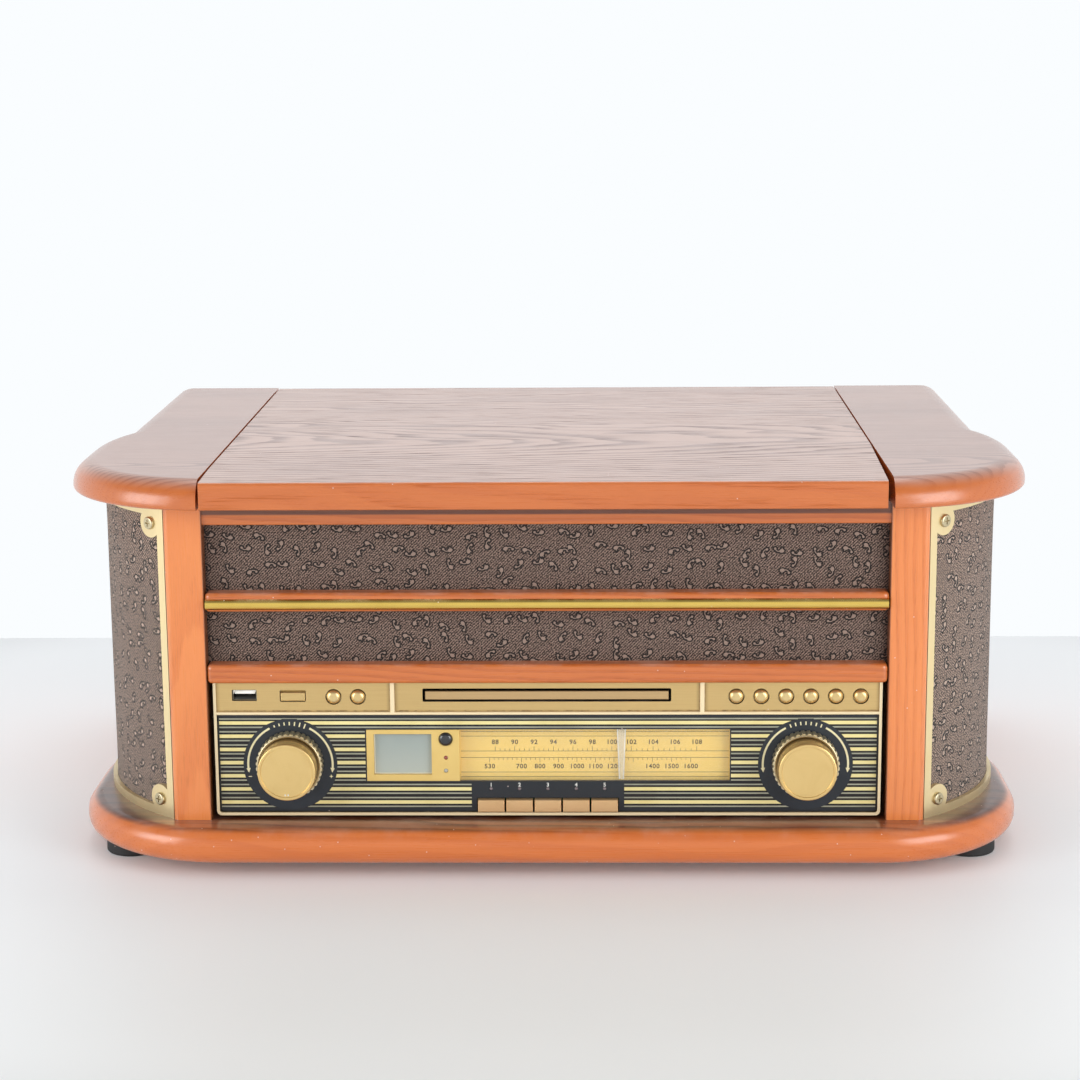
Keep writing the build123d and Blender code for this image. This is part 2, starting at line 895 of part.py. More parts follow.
with BuildPart() as grille_frames:
    with BuildSketch(Plane.XY.offset(base_top)):
        draw_arc_band(grille_radius, grille_inner_radius, grille_start, grille_end)
    extrude(amount=body_height)
    trim_beside_post()
    add(grille_window.part, mode=Mode.SUBTRACT)
    with Locations(*ear_planes):
        Cylinder(screw_shank_radius + running_gap, cutter_length, mode=Mode.SUBTRACT)
    mirror(about=Plane.YZ)
save(grille_frames, "grille_frames")

with BuildPart() as grille_cloths:
    with BuildSketch(Plane.XY.offset(base_top)):
        draw_arc_band(
            cloth_outer_radius, cloth_inner_radius, grille_start - 1, grille_end - 0.3
        )
    extrude(amount=body_height)
    trim_beside_post()
    with Locations(*ear_planes):
        Cylinder(screw_shank_radius + running_gap, cutter_length, mode=Mode.SUBTRACT)
    mirror(about=Plane.YZ)
save(grille_cloths, "grille_cloths")

# The baffle is a flat board on a chord of the curve, from the post to the side panel.
chord_front = (
    post_outer_half,
    wing_centre_y - sqrt(baffle_radius**2 - (post_outer_half - wing_centre_x) ** 2),
)
chord_rear = (
    wing_centre_x + sqrt(baffle_radius**2 - (side_panel_front - wing_centre_y) ** 2),
    side_panel_front,
)
chord_run = (chord_rear[0] - chord_front[0], chord_rear[1] - chord_front[1])
chord_length = hypot(*chord_run)
baffle_centre = (
    (chord_front[0] + chord_rear[0]) / 2,
    (chord_front[1] + chord_rear[1]) / 2,
    base_top + body_height / 2,
)
baffle_normal = (chord_run[1] / chord_length, -chord_run[0] / chord_length, 0)
baffle_face = Plane(origin=baffle_centre, x_dir=(0, 0, 1), z_dir=baffle_normal)

with BuildPart() as speaker_baffles:
    with BuildSketch(baffle_face):
        Rectangle(body_height, chord_length + 4 * baffle_thickness)
    extrude(amount=-baffle_thickness)
    block(
        (0, post_outer_half), (front_edge, rear_edge), (base_top, body_top), Mode.SUBTRACT
    )
    block(
        (0, plan_width), (side_panel_front, rear_edge), (base_top, body_top), Mode.SUBTRACT
    )
    with BuildSketch(Plane.XY.offset(base_top)):
        with Locations((wing_centre_x, wing_centre_y)):
            Circle(baffle_radius)
    extrude(amount=body_height, mode=Mode.INTERSECT)
    with BuildSketch(baffle_face):
        Circle(basket_radius + speaker_gap)
    extrude(amount=-baffle_thickness, mode=Mode.SUBTRACT)
    with Locations(*ear_planes):
        Cylinder(screw_shank_radius + running_gap, cutter_length, mode=Mode.SUBTRACT)
    mirror(about=Plane.YZ)
save(speaker_baffles, "speaker_baffles")

speaker_axis = Axis(baffle_centre, baffle_normal)
# A plane through the speaker's axis: its own axes are the radius and the way out.
speaker_section = Plane(
    origin=baffle_centre, x_dir=(0, 0, 1), z_dir=(-baffle_normal[1], baffle_normal[0], 0)
)
basket_floor = magnet_thickness - speaker_depth
cone_floor = basket_floor + basket_thickness + 0.5
cone_edge = cone_radius - cone_edge_gap

with BuildPart() as speakers:
    with BuildSketch(speaker_section):
        with BuildLine():
            Polyline(
                (cone_radius, flange_thickness),
                (speaker_radius, flange_thickness),
                (speaker_radius, 0),
                (basket_radius, 0),
                (cone_radius, -baffle_thickness - 1),
                (magnet_radius, basket_floor),
                (magnet_radius, -speaker_depth),
                (0, -speaker_depth),
                (0, basket_floor + basket_thickness),
                (magnet_radius, basket_floor + basket_thickness),
                (cone_radius - 2, -baffle_thickness + 1),
                close=True,
            )
        make_face()
    revolve(axis=speaker_axis)
    with BuildSketch(speaker_section):
        with BuildLine():
            Polyline(
                (cone_edge, flange_thickness / 2),
                (cone_edge, flange_thickness / 2 - cone_thickness),
                (coil_radius, cone_floor),
                (0, cone_floor),
                (0, cone_floor + 4 * cone_thickness),
                (coil_radius, cone_floor + cone_thickness),
                close=True,
            )
        make_face()
    revolve(axis=speaker_axis)
    mirror(about=Plane.YZ)
save(speakers, "speakers")


# ---- screws ----
def make_screw(length):
    # A pan-head screw standing on the XY plane, with a cross recess in its head.
    with BuildPart() as screw:
        with BuildSketch():
            Circle(screw_head_radius)
        extrude(amount=screw_head_height)
        fillet(edges().group_by(Axis.Z)[-1], screw_head_rounding)
        with BuildSketch(Plane.XY.offset(screw_head_height)):
            Rectangle(screw_head_radius * 1.1, recess_width)
            Rectangle(recess_width, screw_head_radius * 1.1)
        extrude(amount=-recess_depth, mode=Mode.SUBTRACT)
        with BuildSketch():
            Circle(screw_shank_radius)
        extrude(amount=-length)
    return screw.part


rear_planes = [
    Plane(origin=(x, rear_edge, z), x_dir=(1, 0, 0), z_dir=(0, 1, 0))
    for x, z in panel_screw_places
]

with BuildPart() as cabinet_screws:
    with Locations(*ear_planes):
        add(make_screw(grille_screw_length))
    mirror(about=Plane.YZ)
    with Locations(*rear_planes):
        add(make_screw(panel_screw_length))
save(cabinet_screws, "cabinet_screws")


# ---- front bezel ----
right_button_places = [
    (bezel_half_width - right_button_inset - right_button_pitch * i, control_z)
    for i in reversed(range(right_button_count))
]
left_button_places = [
    (-bezel_half_width + left_button_inset + left_button_pitch * i, control_z)
    for i in range(left_button_count)
]
button_places = left_button_places + right_button_places
power_key_z = base_top + key_row

inner_half_width = bezel_half_width - bezel_wall
window_corner = bezel_corner - bezel_wall + 0.4

with BuildPart() as front_bezel:
    # A moulded shell: a plate across the top, a thin wall round the rest, open behind.
    with BuildSketch(facing(bezel_back)):
        with Locations((0, (bezel_bottom + rail_bottom) / 2)):
            Rectangle(2 * bezel_half_width, rail_bottom - bezel_bottom)
        fillet(vertices().group_by(Axis.Y)[0], bezel_corner)
    extrude(amount=bezel_depth + rim_proud)
    # the face lies a little behind the rim that runs round it
    with BuildSketch(facing(panel_face)):
        with Locations((0, window_bottom)):
            Rectangle(2 * inner_half_width, rail_bottom, align=(Align.CENTER, Align.MIN))
        fillet(vertices().group_by(Axis.Y)[0], window_corner)
    extrude(amount=2 * rim_proud, mode=Mode.SUBTRACT)
    with BuildSketch(facing(bezel_back)):
        with Locations((0, window_bottom)):
            Rectangle(
                2 * inner_half_width,
                rail_bottom - bezel_wall - window_bottom,
                align=(Align.CENTER, Align.MIN),
            )
        fillet(vertices().group_by(Axis.Y)[0], window_corner)
    extrude(amount=bezel_depth - bezel_plate, mode=Mode.SUBTRACT)
    with BuildSketch(facing(bezel_back)):
        with Locations((0, window_bottom)):
            Rectangle(
                2 * inner_half_width, window_top_z - window_bottom, align=(Align.CENTER, Align.MIN)
            )
        fillet(vertices().group_by(Axis.Y)[0], window_corner)
    extrude(amount=2 * bezel_depth, mode=Mode.SUBTRACT)
    # ledge over the window and the two dividers above it
    with BuildSketch(Plane.YZ):
        with Locations((panel_face - ledge_proud, window_top_z)):
            Rectangle(ledge_proud + bezel_plate, ledge_height, align=Align.MIN)
        fillet(vertices().group_by(Axis.X)[0], ledge_height * 0.4)
    extrude(amount=inner_half_width, both=True)
    with BuildSketch(Plane.XY.offset(window_top_z + ledge_height / 2)):
        with Locations((left_divider_x, panel_face), (right_divider_x, panel_face)):
            Rectangle(divider_width, 2 * divider_proud)
        fillet(vertices().group_by(Axis.Y)[0], divider_rounding)
    extrude(amount=rail_bottom - window_top_z - ledge_height / 2)
    for i in range(bezel_feet):
        x = (i - (bezel_feet - 1) / 2) * bezel_half_width / 2
        block(
            (x - bezel_foot_width / 2, x + bezel_foot_width / 2),
            (panel_face + bezel_plate, bezel_back),
            (base_top, bezel_bottom + bezel_wall / 2),
        )
    # openings for the buttons, the CD tray, the power key and the USB socket
    with BuildSketch(facing(bezel_back)):
        with Locations(*button_places):
            Circle(button_radius + button_gap)
        with Locations((0, slot_z)):
            RectangleRounded(cd_slot_width, cd_slot_height, slot_corner)
        with Locations((power_key_x, power_key_z + (power_key_top_gap - power_key_gap) / 2)):
            RectangleRounded(
                power_key_width + 2 * power_key_gap,
                power_key_height + power_key_gap + power_key_top_gap,
                slot_corner,
            )
        with Locations((usb_x, slot_z)):
            RectangleRounded(usb_width + 2 * usb_gap, usb_height + 2 * usb_gap, usb_corner)
    extrude(amount=2 * bezel_depth, mode=Mode.SUBTRACT)
save(front_bezel, "front_bezel")


# ---- fascia, display and tuning scale ----
key_block_half = (key_count * key_pitch) / 2
key_top = key_z + key_height / 2
key_places = [
    key_row_centre + (i - (key_count - 1) / 2) * key_pitch for i in range(key_count)
]
lamp_z = base_top + key_lamp_height
display_top = display_z + display_height
fascia_bottom = window_bottom + panel_gap
fascia_top = window_top_z - panel_gap

with BuildPart() as dial_fascia:
    block(
        (-fascia_half_width, fascia_half_width),
        (fascia_front, fascia_back),
        (fascia_bottom, fascia_top),
    )
    fillet(edges().filter_by(Axis.Y).group_by(Axis.Z)[0], window_corner)
    block(
        (display_left - display_gap, scale_right),
        (fascia_front - overshoot, fascia_back + overshoot),
        (display_z, display_top),
        Mode.SUBTRACT,
    )
    block(
        (key_row_centre - key_block_half, key_row_centre + key_block_half),
        (fascia_front - overshoot, fascia_back + overshoot),
        (fascia_bottom - overshoot, key_top + 2 * key_side_gap),
        Mode.SUBTRACT,
    )
    with BuildSketch(facing(fascia_back)):
        with Locations((-knob_x, knob_z), (knob_x, knob_z)):
            Circle(bushing_radius + bushing_gap)
        with Locations(*[(x, lamp_z) for x in key_places]):
            Circle(mode_lamp_radius + running_gap)
    extrude(amount=fascia_thickness, mode=Mode.SUBTRACT)
save(dial_fascia, "dial_fascia")

lcd_right = lcd_left + lcd_width
lcd_z = base_top + lcd_bottom
display_front = fascia_front - display_plate_proud
lamp_places = [(sensor_x, base_top + height) for height in lamp_heights]

with BuildPart() as display_plate:
    block(
        (display_left, display_right),
        (display_front, fascia_back),
        (display_z + display_gap, display_top - display_gap),
    )
    fillet(faces().sort_by(Axis.Y)[0].edges(), display_plate_proud / 2)
    block(
        (lcd_left, lcd_right),
        (display_front - overshoot, fascia_back + overshoot),
        (lcd_z, lcd_z + lcd_height),
        Mode.SUBTRACT,
    )
    with BuildSketch(facing(fascia_back)):
        with Locations((sensor_x, base_top + sensor_height)):
            Circle(sensor_radius + running_gap)
        with Locations(*lamp_places):
            Circle(lamp_radius + running_gap)
    extrude(amount=2 * fascia_thickness, mode=Mode.SUBTRACT)
save(display_plate, "display_plate")


with BuildPart() as lcd_module:
    block(
        (lcd_left - lcd_margin, lcd_right + lcd_margin),
        (fascia_back, fascia_back + lcd_thickness),
        (lcd_z - lcd_margin, lcd_z + lcd_height + lcd_margin),
    )
    block(
        (lcd_left + display_gap, lcd_right - display_gap),
        (fascia_back - lcd_pane, fascia_back),
        (lcd_z + display_gap, lcd_z + lcd_height - display_gap),
    )
save(lcd_module, "lcd_module")


def draw_lamp(x, z, radius, proud):
    # A round-nosed lamp or sensor that looks out of the panel.
    back = fascia_back + lamp_body
    with BuildSketch(facing(back)) as section:
        with Locations((x, z)):
            Circle(radius)
    extrude(section.sketch, amount=back - display_front + proud)
    nose = edges().filter_by(GeomType.CIRCLE).sort_by_distance((x, display_front - proud, z))[0]
    fillet(nose, radius * 0.6)


with BuildPart() as indicator_lamps:
    draw_lamp(sensor_x, base_top + sensor_height, sensor_radius, sensor_proud)
    for x, z in lamp_places:
        draw_lamp(x, z, lamp_radius, lamp_proud)
    for x in key_places:
        draw_lamp(x, lamp_z, mode_lamp_radius, mode_lamp_proud)
save(indicator_lamps, "indicator_lamps")

with BuildPart() as scale_window:
    block(
        (display_right + display_gap, scale_right - display_gap),
        (pane_front, pane_front + window_thickness),
        (display_z + display_gap, display_top - display_gap),
    )
save(scale_window, "scale_window")

guide_rod_y = needle_front + guide_rod_back
guide_rod_z = display_top + guide_rod_lift
left_ear = display_right - scale_ear_gap - scale_ear_thickness
right_ear = scale_right + scale_ear_gap + scale_ear_thickness
scale_bottom = display_z - scale_margin

with BuildPart() as scale_plate:
    block(
        (left_ear, right_ear),
        (scale_front, scale_front + scale_thickness),
        (scale_bottom, display_top + scale_margin),
    )
    for low in (left_ear, right_ear - scale_ear_thickness):
        block(
            (low, low + scale_ear_thickness),
            (fascia_back, scale_front + scale_thickness),
            (scale_bottom, guide_rod_z + carriage_half_height),
        )
    with BuildSketch(Plane.YZ.offset(left_ear)):
        with Locations((guide_rod_y, guide_rod_z)):
            Circle(guide_rod_radius)
    extrude(amount=right_ear - left_ear)
save(scale_plate, "scale_plate")

with BuildPart() as dial_needle:
    with BuildSketch(facing(needle_front)):
        with BuildLine():
            Polyline(
                (needle_x - needle_foot_width / 2, display_z + needle_foot_gap),
                (needle_x + needle_foot_width / 2, display_z + needle_foot_gap),
                (needle_x + needle_top_width / 2, display_top),
                (needle_x + needle_top_width / 2, guide_rod_z),
                (needle_x - needle_top_width / 2, guide_rod_z),
                (needle_x - needle_top_width / 2, display_top),
                close=True,
            )
        make_face()
    extrude(amount=-needle_thickness)
    block(
        (needle_x - carriage_half_width, needle_x + carriage_half_width),
        (needle_front, guide_rod_y + carriage_half_height),
        (guide_rod_z - carriage_half_height, guide_rod_z + carriage_half_height - panel_gap),
    )
    with BuildSketch(Plane.YZ.offset(needle_x - 2 * carriage_half_width)):
        with Locations((guide_rod_y, guide_rod_z)):
            Circle(guide_rod_radius + running_gap)
    extrude(amount=4 * carriage_half_width, mode=Mode.SUBTRACT)
save(dial_needle, "dial_needle")


# ---- knobs ----
knob_back = fascia_front - knob_back_gap
knob_ring_front = knob_back - knob_skirt_length
knob_front = knob_ring_front - knob_cap_length


def draw_knob(x):
    # A fluted skirt, a bright ring, then a tall plain cap with a dished face.
    with BuildSketch(facing(knob_back)) as skirt:
        with Locations((x, knob_z)):
            Circle(knob_skirt_radius)
            with PolarLocations(knob_skirt_radius + flute_radius - flute_bite, knob_flutes):
                Circle(flute_radius, mode=Mode.SUBTRACT)
    extrude(skirt.sketch, amount=knob_skirt_length)
    with BuildSketch(facing(knob_ring_front)) as ring:
        with Locations((x, knob_z)):
            Circle(knob_ring_radius)
    extrude(ring.sketch, amount=ring_height)
    fillet(edges().sort_by(Axis.Y)[0], ring_height * 0.6)
    with BuildSketch(facing(knob_ring_front - ring_height)) as well:
        with Locations((x, knob_z)):
            Circle(knob_ring_radius - ring_width)
    extrude(well.sketch, amount=-2 * ring_height, mode=Mode.SUBTRACT)
    with BuildSketch(facing(knob_ring_front + 2 * ring_height)) as cap:
        with Locations((x, knob_z)):
            Circle(knob_cap_radius)
    cap_length = knob_cap_length + 2 * ring_height
    extrude(cap.sketch, amount=cap_length, taper=degrees(cap_taper / cap_length))
    fillet(edges().sort_by(Axis.Y)[0], cap_rounding)
    with BuildSketch(facing(knob_front)) as dish:
        with Locations((x, knob_z)):
            Circle(knob_cap_radius - cap_rim)
    extrude(dish.sketch, amount=-cap_dish, taper=30, mode=Mode.SUBTRACT)
    with BuildSketch(facing(knob_back)) as shaft:
        with Locations((x, knob_z)):
            Circle(knob_shaft_radius)
    extrude(shaft.sketch, amount=knob_back - bezel_back + shaft_end_gap)


with BuildPart() as volume_knob:
    draw_knob(-knob_x)
save(volume_knob, "volume_knob")

with BuildPart() as tuning_knob:
    draw_knob(knob_x)
save(tuning_knob, "tuning_knob")


# ---- keys and buttons ----
key_front = panel_face - key_proud
key_back = bezel_back - key_travel - press_gap

for i in range(key_count):
    with BuildPart() as mode_key:
        block(
            (key_places[i] - key_width / 2, key_places[i] + key_width / 2),
            (key_front, fascia_back + key_tail),
            (key_z - key_height / 2, key_top),
        )
        fillet(faces().sort_by(Axis.Y)[0].edges(), key_rounding)
        block(
            (key_places[i] - key_width / 6, key_places[i] + key_width / 6),
            (fascia_back + key_tail, key_back),
            (key_z - key_height / 4, key_z + key_height / 4),
        )
    save(mode_key, f"mode_key_{i + 1}")

button_flange_y = panel_face + bezel_plate + flange_gap
button_back = bezel_back - button_travel - press_gap

for i in range(len(button_places)):
    with BuildPart() as round_button:
        with BuildSketch(facing(button_flange_y)):
            with Locations(button_places[i]):
                Circle(button_radius)
        extrude(amount=button_flange_y - panel_face + button_proud)
        fillet(edges().sort_by(Axis.Y)[0], button_radius * 0.66)
        with BuildSketch(facing(button_flange_y)):
            with Locations(button_places[i]):
                Circle(button_radius + button_gap + button_flange)
        extrude(amount=-button_flange_height)
        with BuildSketch(facing(button_flange_y)):
            with Locations(button_places[i]):
                Circle(button_radius * 0.5)
        extrude(amount=button_flange_y - button_back)
    save(round_button, f"round_button_{i + 1}")

with BuildPart() as power_key:
    block(
        (power_key_x - power_key_width / 2, power_key_x + power_key_width / 2),
        (panel_face - power_key_gap / 2, button_flange_y),
        (power_key_z - power_key_height / 2, power_key_z + power_key_height / 2),
    )
    fillet(faces().sort_by(Axis.Y)[0].edges(), key_rounding)
    block(
        (
            power_key_x - power_key_width / 2 - button_flange,
            power_key_x + power_key_width / 2 + button_flange,
        ),
        (button_flange_y, button_flange_y + button_flange_height),
        (
            power_key_z - power_key_height / 2 - button_flange,
            power_key_z + power_key_height / 2 + button_flange,
        ),
    )
    block(
        (power_key_x - power_key_stem[0] / 2, power_key_x + power_key_stem[0] / 2),
        (button_flange_y, button_back),
        (power_key_z - power_key_stem[1] / 2, power_key_z + power_key_stem[1] / 2),
    )
save(power_key, "power_key")


with BuildPart() as usb_socket:
    block(
        (usb_x - usb_width / 2, usb_x + usb_width / 2),
        (panel_face + usb_setback, bezel_back),
        (slot_z - usb_height / 2, slot_z + usb_height / 2),
    )
    fillet(edges().filter_by(Axis.Y), usb_corner)
    block(
        (usb_x - usb_width / 2 + usb_wall, usb_x + usb_width / 2 - usb_wall),
        (panel_face, bezel_back - overshoot),
        (slot_z - usb_height / 2 + usb_wall, slot_z + usb_height / 2 - usb_wall),
        Mode.SUBTRACT,
    )
    block(
        (usb_x - usb_width / 2 + 3 * usb_wall, usb_x + usb_width / 2 - 3 * usb_wall),
        (panel_face + usb_tongue_setback, bezel_back - overshoot / 2),
        (
            slot_z + usb_height / 2 - 2 * usb_wall - usb_tongue_height,
            slot_z + usb_height / 2 - 2 * usb_wall,
        ),
    )
save(usb_socket, "usb_socket")


# ---- CD player ----
tray_front_y = panel_face + tray_setback
tray_bottom = slot_z - cd_slot_height / 2 + tray_lift
tray_top = tray_bottom + tray_front_height
tray_bed_half = tray_front_width / 2 - tray_edge
tray_bed_top = tray_top - tray_edge
tray_back = tray_front_y + tray_length
disc_y = tray_front_y + tray_front_thickness + disc_radius + disc_setback
mechanism_front = bezel_back + mechanism_gap
mechanism_back = mechanism_front + mechanism_depth
mechanism_bottom = tray_bottom - mechanism_margin
mechanism_top = tray_top + mechanism_margin

with BuildPart() as cd_tray:
    block(
        (-tray_front_width / 2, tray_front_width / 2),
        (tray_front_y, tray_front_y + tray_front_thickness),
        (tray_bottom, tray_top),
    )
    fillet(faces().sort_by(Axis.Y)[0].edges(), tray_gap)
    block(
        (-tray_bed_half, tray_bed_half),
        (tray_front_y + tray_front_thickness, tray_back),
        (tray_bottom + tray_gap, tray_bed_top),
    )
    with BuildSketch(Plane.XY.offset(tray_bed_top)):
        with Locations((0, disc_y)):
            Circle(disc_radius)
    extrude(amount=-disc_recess, mode=Mode.SUBTRACT)
    with BuildSketch(Plane.XY.offset(tray_bottom)):
        with Locations((0, disc_y)):
            Circle(disc_radius * 0.28)
        with Locations((0, disc_y + disc_radius * 0.5)):
            Rectangle(disc_radius * 0.4, disc_radius)
    extrude(amount=tray_front_height, mode=Mode.SUBTRACT)
save(cd_tray, "cd_tray")

with BuildPart() as cd_mechanism:
    block(
        (-mechanism_width / 2, mechanism_width / 2),
        (mechanism_front, mechanism_back),
        (mechanism_bottom, mechanism_top),
    )
    block(
        (-mechanism_width / 2 + mechanism_wall, mechanism_width / 2 - mechanism_wall),
        (mechanism_front - overshoot, mechanism_back - mechanism_wall),
        (tray_top + tray_gap, mechanism_top - mechanism_wall),
        Mode.SUBTRACT,
    )
    block(
        (-tray_bed_half - tray_gap, tray_bed_half + tray_gap),
        (mechanism_front - overshoot, mechanism_back - mechanism_wall),
        (tray_bottom - tray_gap, tray_top + tray_gap),
        Mode.SUBTRACT,
    )
    for x in (-1, 1):
        for y in (mechanism_front + leg_width, mechanism_back - leg_width):
            centre = x * (mechanism_width - leg_width) / 2
            block(
                (centre - leg_width / 2, centre + leg_width / 2),
                (y - leg_width / 2, y + leg_width / 2),
                (base_top, mechanism_bottom),
            )
save(cd_mechanism, "cd_mechanism")


# ---- circuit boards and power supply ----
board_notch_half = mechanism_width / 2 + board_notch_gap
board_half_width = bezel_half_width - board_edge_gap
main_board_z = base_top + standoff_height
main_board_x = (
    mechanism_width / 2 + main_board_side_gap,
    inner_wall_half - deck_ledge - main_board_wall_gap,
)
main_board_middle = (sum(main_board_x) / 2, sum(main_board_y) / 2, base_top)
main_board_size = (main_board_x[1] - main_board_x[0], main_board_y[1] - main_board_y[0])
pot_back = bezel_back - pot_gap
front_board_back = bezel_back + board_thickness

with BuildPart() as circuit_boards:
    # front board, fixed to the back of the bezel
    block(
        (-board_half_width, board_half_width),
        (bezel_back, front_board_back),
        (bezel_bottom, rail_bottom - mechanism_gap),
    )
    block(
        (-board_notch_half, board_notch_half),
        (bezel_back - overshoot, front_board_back + overshoot),
        (mechanism_bottom - mechanism_gap, rail_bottom),
        Mode.SUBTRACT,
    )
    # the two potentiometers behind the knobs
    for x in (-knob_x, knob_x):
        with BuildSketch(facing(pot_back)):
            with Locations((x, knob_z)):
                Circle(pot_radius)
        extrude(amount=pot_back - fascia_back - pot_front_gap)
        with BuildSketch(facing(pot_back)):
            with Locations((x, knob_z)):
                Circle(bushing_radius)
        extrude(amount=pot_back - fascia_front)
        with BuildSketch(facing(pot_back)):
            with Locations((x, knob_z)):
                Circle(knob_shaft_radius + running_gap)
        extrude(amount=bezel_depth, mode=Mode.SUBTRACT)
    # main board on its standoffs, with the amplifier's heatsink
    block(main_board_x, main_board_y, (main_board_z, main_board_z + board_thickness))
    with Locations(main_board_middle):
        with GridLocations(
            main_board_size[0] - 2 * standoff_inset, main_board_size[1] - 2 * standoff_inset, 2, 2
        ):
            Cylinder(
                standoff_radius, standoff_height, align=(Align.CENTER, Align.CENTER, Align.MIN)
            )
    heatsink_bottom = main_board_z + board_thickness
    heatsink_z = (heatsink_bottom, heatsink_bottom + heatsink_height)
    heatsink_x = (main_board_x[0] + heatsink_inset, main_board_x[1] - heatsink_inset)
    fin_front = main_board_y[1] - fin_depth
    block(heatsink_x, (fin_front - heatsink_thickness, fin_front), heatsink_z)
    fin_pitch = (heatsink_x[1] - heatsink_x[0] - fin_thickness) / (fin_count - 1)
    for i in range(fin_count):
        x = heatsink_x[0] + fin_pitch * i
        block((x, x + fin_thickness), (fin_front, main_board_y[1]), heatsink_z)
save(circuit_boards, "circuit_boards")


core_window = (core_width - 2 * coil_margin, core_height - 2 * coil_margin)
transformer_half_width = core_width / 2 + core_foot
transformer_x = -(inner_wall_half - deck_ledge - transformer_side_gap - transformer_half_width)
transformer_y = mechanism_back + transformer_front_gap + coil_proud + core_depth / 2
core_middle = (transformer_x, transformer_y, base_top + core_height / 2)

with BuildPart() as power_transformer:
    # laminated core on two feet, with the coil through its window
    with Locations(core_middle):
        Box(core_width, core_depth, core_height)
        Box(core_window[0], 2 * core_depth, core_window[1], mode=Mode.SUBTRACT)
    with Locations((transformer_x, transformer_y, base_top + core_foot_thickness / 2)):
        Box(core_width + 2 * core_foot, core_depth / 2, core_foot_thickness)
    with Locations(core_middle):
        Box(
            core_window[0] - 2 * transformer_gap,
            core_depth + 2 * coil_proud,
            core_window[1] - 2 * transformer_gap,
        )
save(power_transformer, "power_transformer")


# ---- turntable ----
shaft_bottom = deck_bottom - bearing_depth + bearing_floor + shaft_bottom_gap
motor_x = platter_x + motor_distance * cos(radians(motor_angle))
motor_y = platter_y + motor_distance * sin(radians(motor_angle))
switch_x = -(inner_wall_half - switch_inset)
switch_y = well_front + switch_room

with BuildPart() as turntable_deck:
    block(
        (-inner_wall_half + deck_gap, inner_wall_half - deck_gap),
        (well_front + deck_gap, well_rear - deck_gap),
        (deck_bottom, deck_top),
    )
    fillet(edges().filter_by(Axis.Z), deck_corner)
    with BuildSketch(Plane.XY.offset(deck_top + bearing_lip)):
        with Locations((platter_x, platter_y)):
            Circle(bearing_radius)
    extrude(amount=-bearing_lip - deck_thickness - bearing_depth)
    with BuildSketch(Plane.XY.offset(deck_top + bearing_lip)):
        with Locations((platter_x, platter_y)):
            Circle(spindle_radius + running_gap)
    extrude(amount=-bearing_lip - deck_thickness - bearing_depth + bearing_floor, mode=Mode.SUBTRACT)
    with BuildSketch(Plane.XY.offset(deck_bottom)):
        with Locations((motor_x, motor_y)):
            Circle(2 * motor_shaft_radius)
        with Locations((switch_x, switch_y)):
            Rectangle(
                switch_stem_width + 2 * switch_travel + 2 * switch_gap,
                switch_stem_depth + 2 * switch_gap,
            )
    extrude(amount=deck_thickness, mode=Mode.SUBTRACT)
save(turntable_deck, "turntable_deck")

with BuildPart() as platter:
    with BuildSketch(Plane.XY.offset(platter_bottom)):
        with Locations((platter_x, platter_y)):
            Circle(platter_radius)
    extrude(amount=platter_height)
    fillet(edges().group_by(Axis.Z)[-1], platter_rounding)
    with BuildSketch(Plane.XY.offset(platter_bottom)):
        with Locations((platter_x, platter_y)):
            Circle(platter_radius - platter_skirt)
            Circle(belt_rim_radius, mode=Mode.SUBTRACT)
            Circle(belt_rim_radius - belt_rim_thickness)
            Circle(hub_radius, mode=Mode.SUBTRACT)
    extrude(amount=platter_height - platter_plate, mode=Mode.SUBTRACT)
    with BuildSketch(Plane.XY.offset(shaft_bottom)):
        with Locations((platter_x, platter_y)):
            Circle(spindle_radius)
    extrude(until=Until.NEXT)
    with BuildSketch(Plane.XY.offset(platter_top)):
        with Locations((platter_x, platter_y)):
            Circle(spindle_radius)
    extrude(amount=mat_thickness + spindle_height)
    fillet(edges().group_by(Axis.Z)[-1], spindle_rounding)
save(platter, "platter")

with BuildPart() as platter_mat:
    with BuildSketch(Plane.XY.offset(platter_top)):
        with Locations((platter_x, platter_y)):
            Circle(platter_radius - mat_edge)
            Circle(spindle_radius + mat_hole_gap, mode=Mode.SUBTRACT)
    extrude(amount=mat_thickness)
save(platter_mat, "platter_mat")

with BuildPart() as motor_pulley:
    with BuildSketch(Plane.XY.offset(deck_top + belt_lift - pulley_flange)):
        with Locations((motor_x, motor_y)):
            Circle(pulley_flange_radius)
    extrude(amount=pulley_groove_height + 2 * pulley_flange)
    with BuildSketch(Plane.XY.offset(deck_top + belt_lift)):
        with Locations((motor_x, motor_y)):
            Circle(2 * pulley_flange_radius)
            Circle(pulley_radius, mode=Mode.SUBTRACT)
    extrude(amount=pulley_groove_height, mode=Mode.SUBTRACT)
    with BuildSketch(Plane.XY.offset(deck_top + belt_lift)):
        with Locations((motor_x, motor_y)):
            Circle(motor_shaft_radius)
    extrude(amount=-belt_lift - deck_thickness - motor_shaft_length)
save(motor_pulley, "motor_pulley")

with BuildPart() as drive_motor:
    with BuildSketch(Plane.XY.offset(deck_bottom)):
        with Locations((motor_x, motor_y)):
            Circle(motor_radius)
    extrude(amount=-motor_height)
    fillet(edges().group_by(Axis.Z)[0], motor_rounding)
    with BuildSketch(Plane.XY.offset(deck_bottom)):
        with Locations((motor_x, motor_y)):
            Circle(motor_shaft_radius + running_gap)
    extrude(amount=-motor_shaft_length - motor_shaft_gap, mode=Mode.SUBTRACT)
save(drive_motor, "drive_motor")

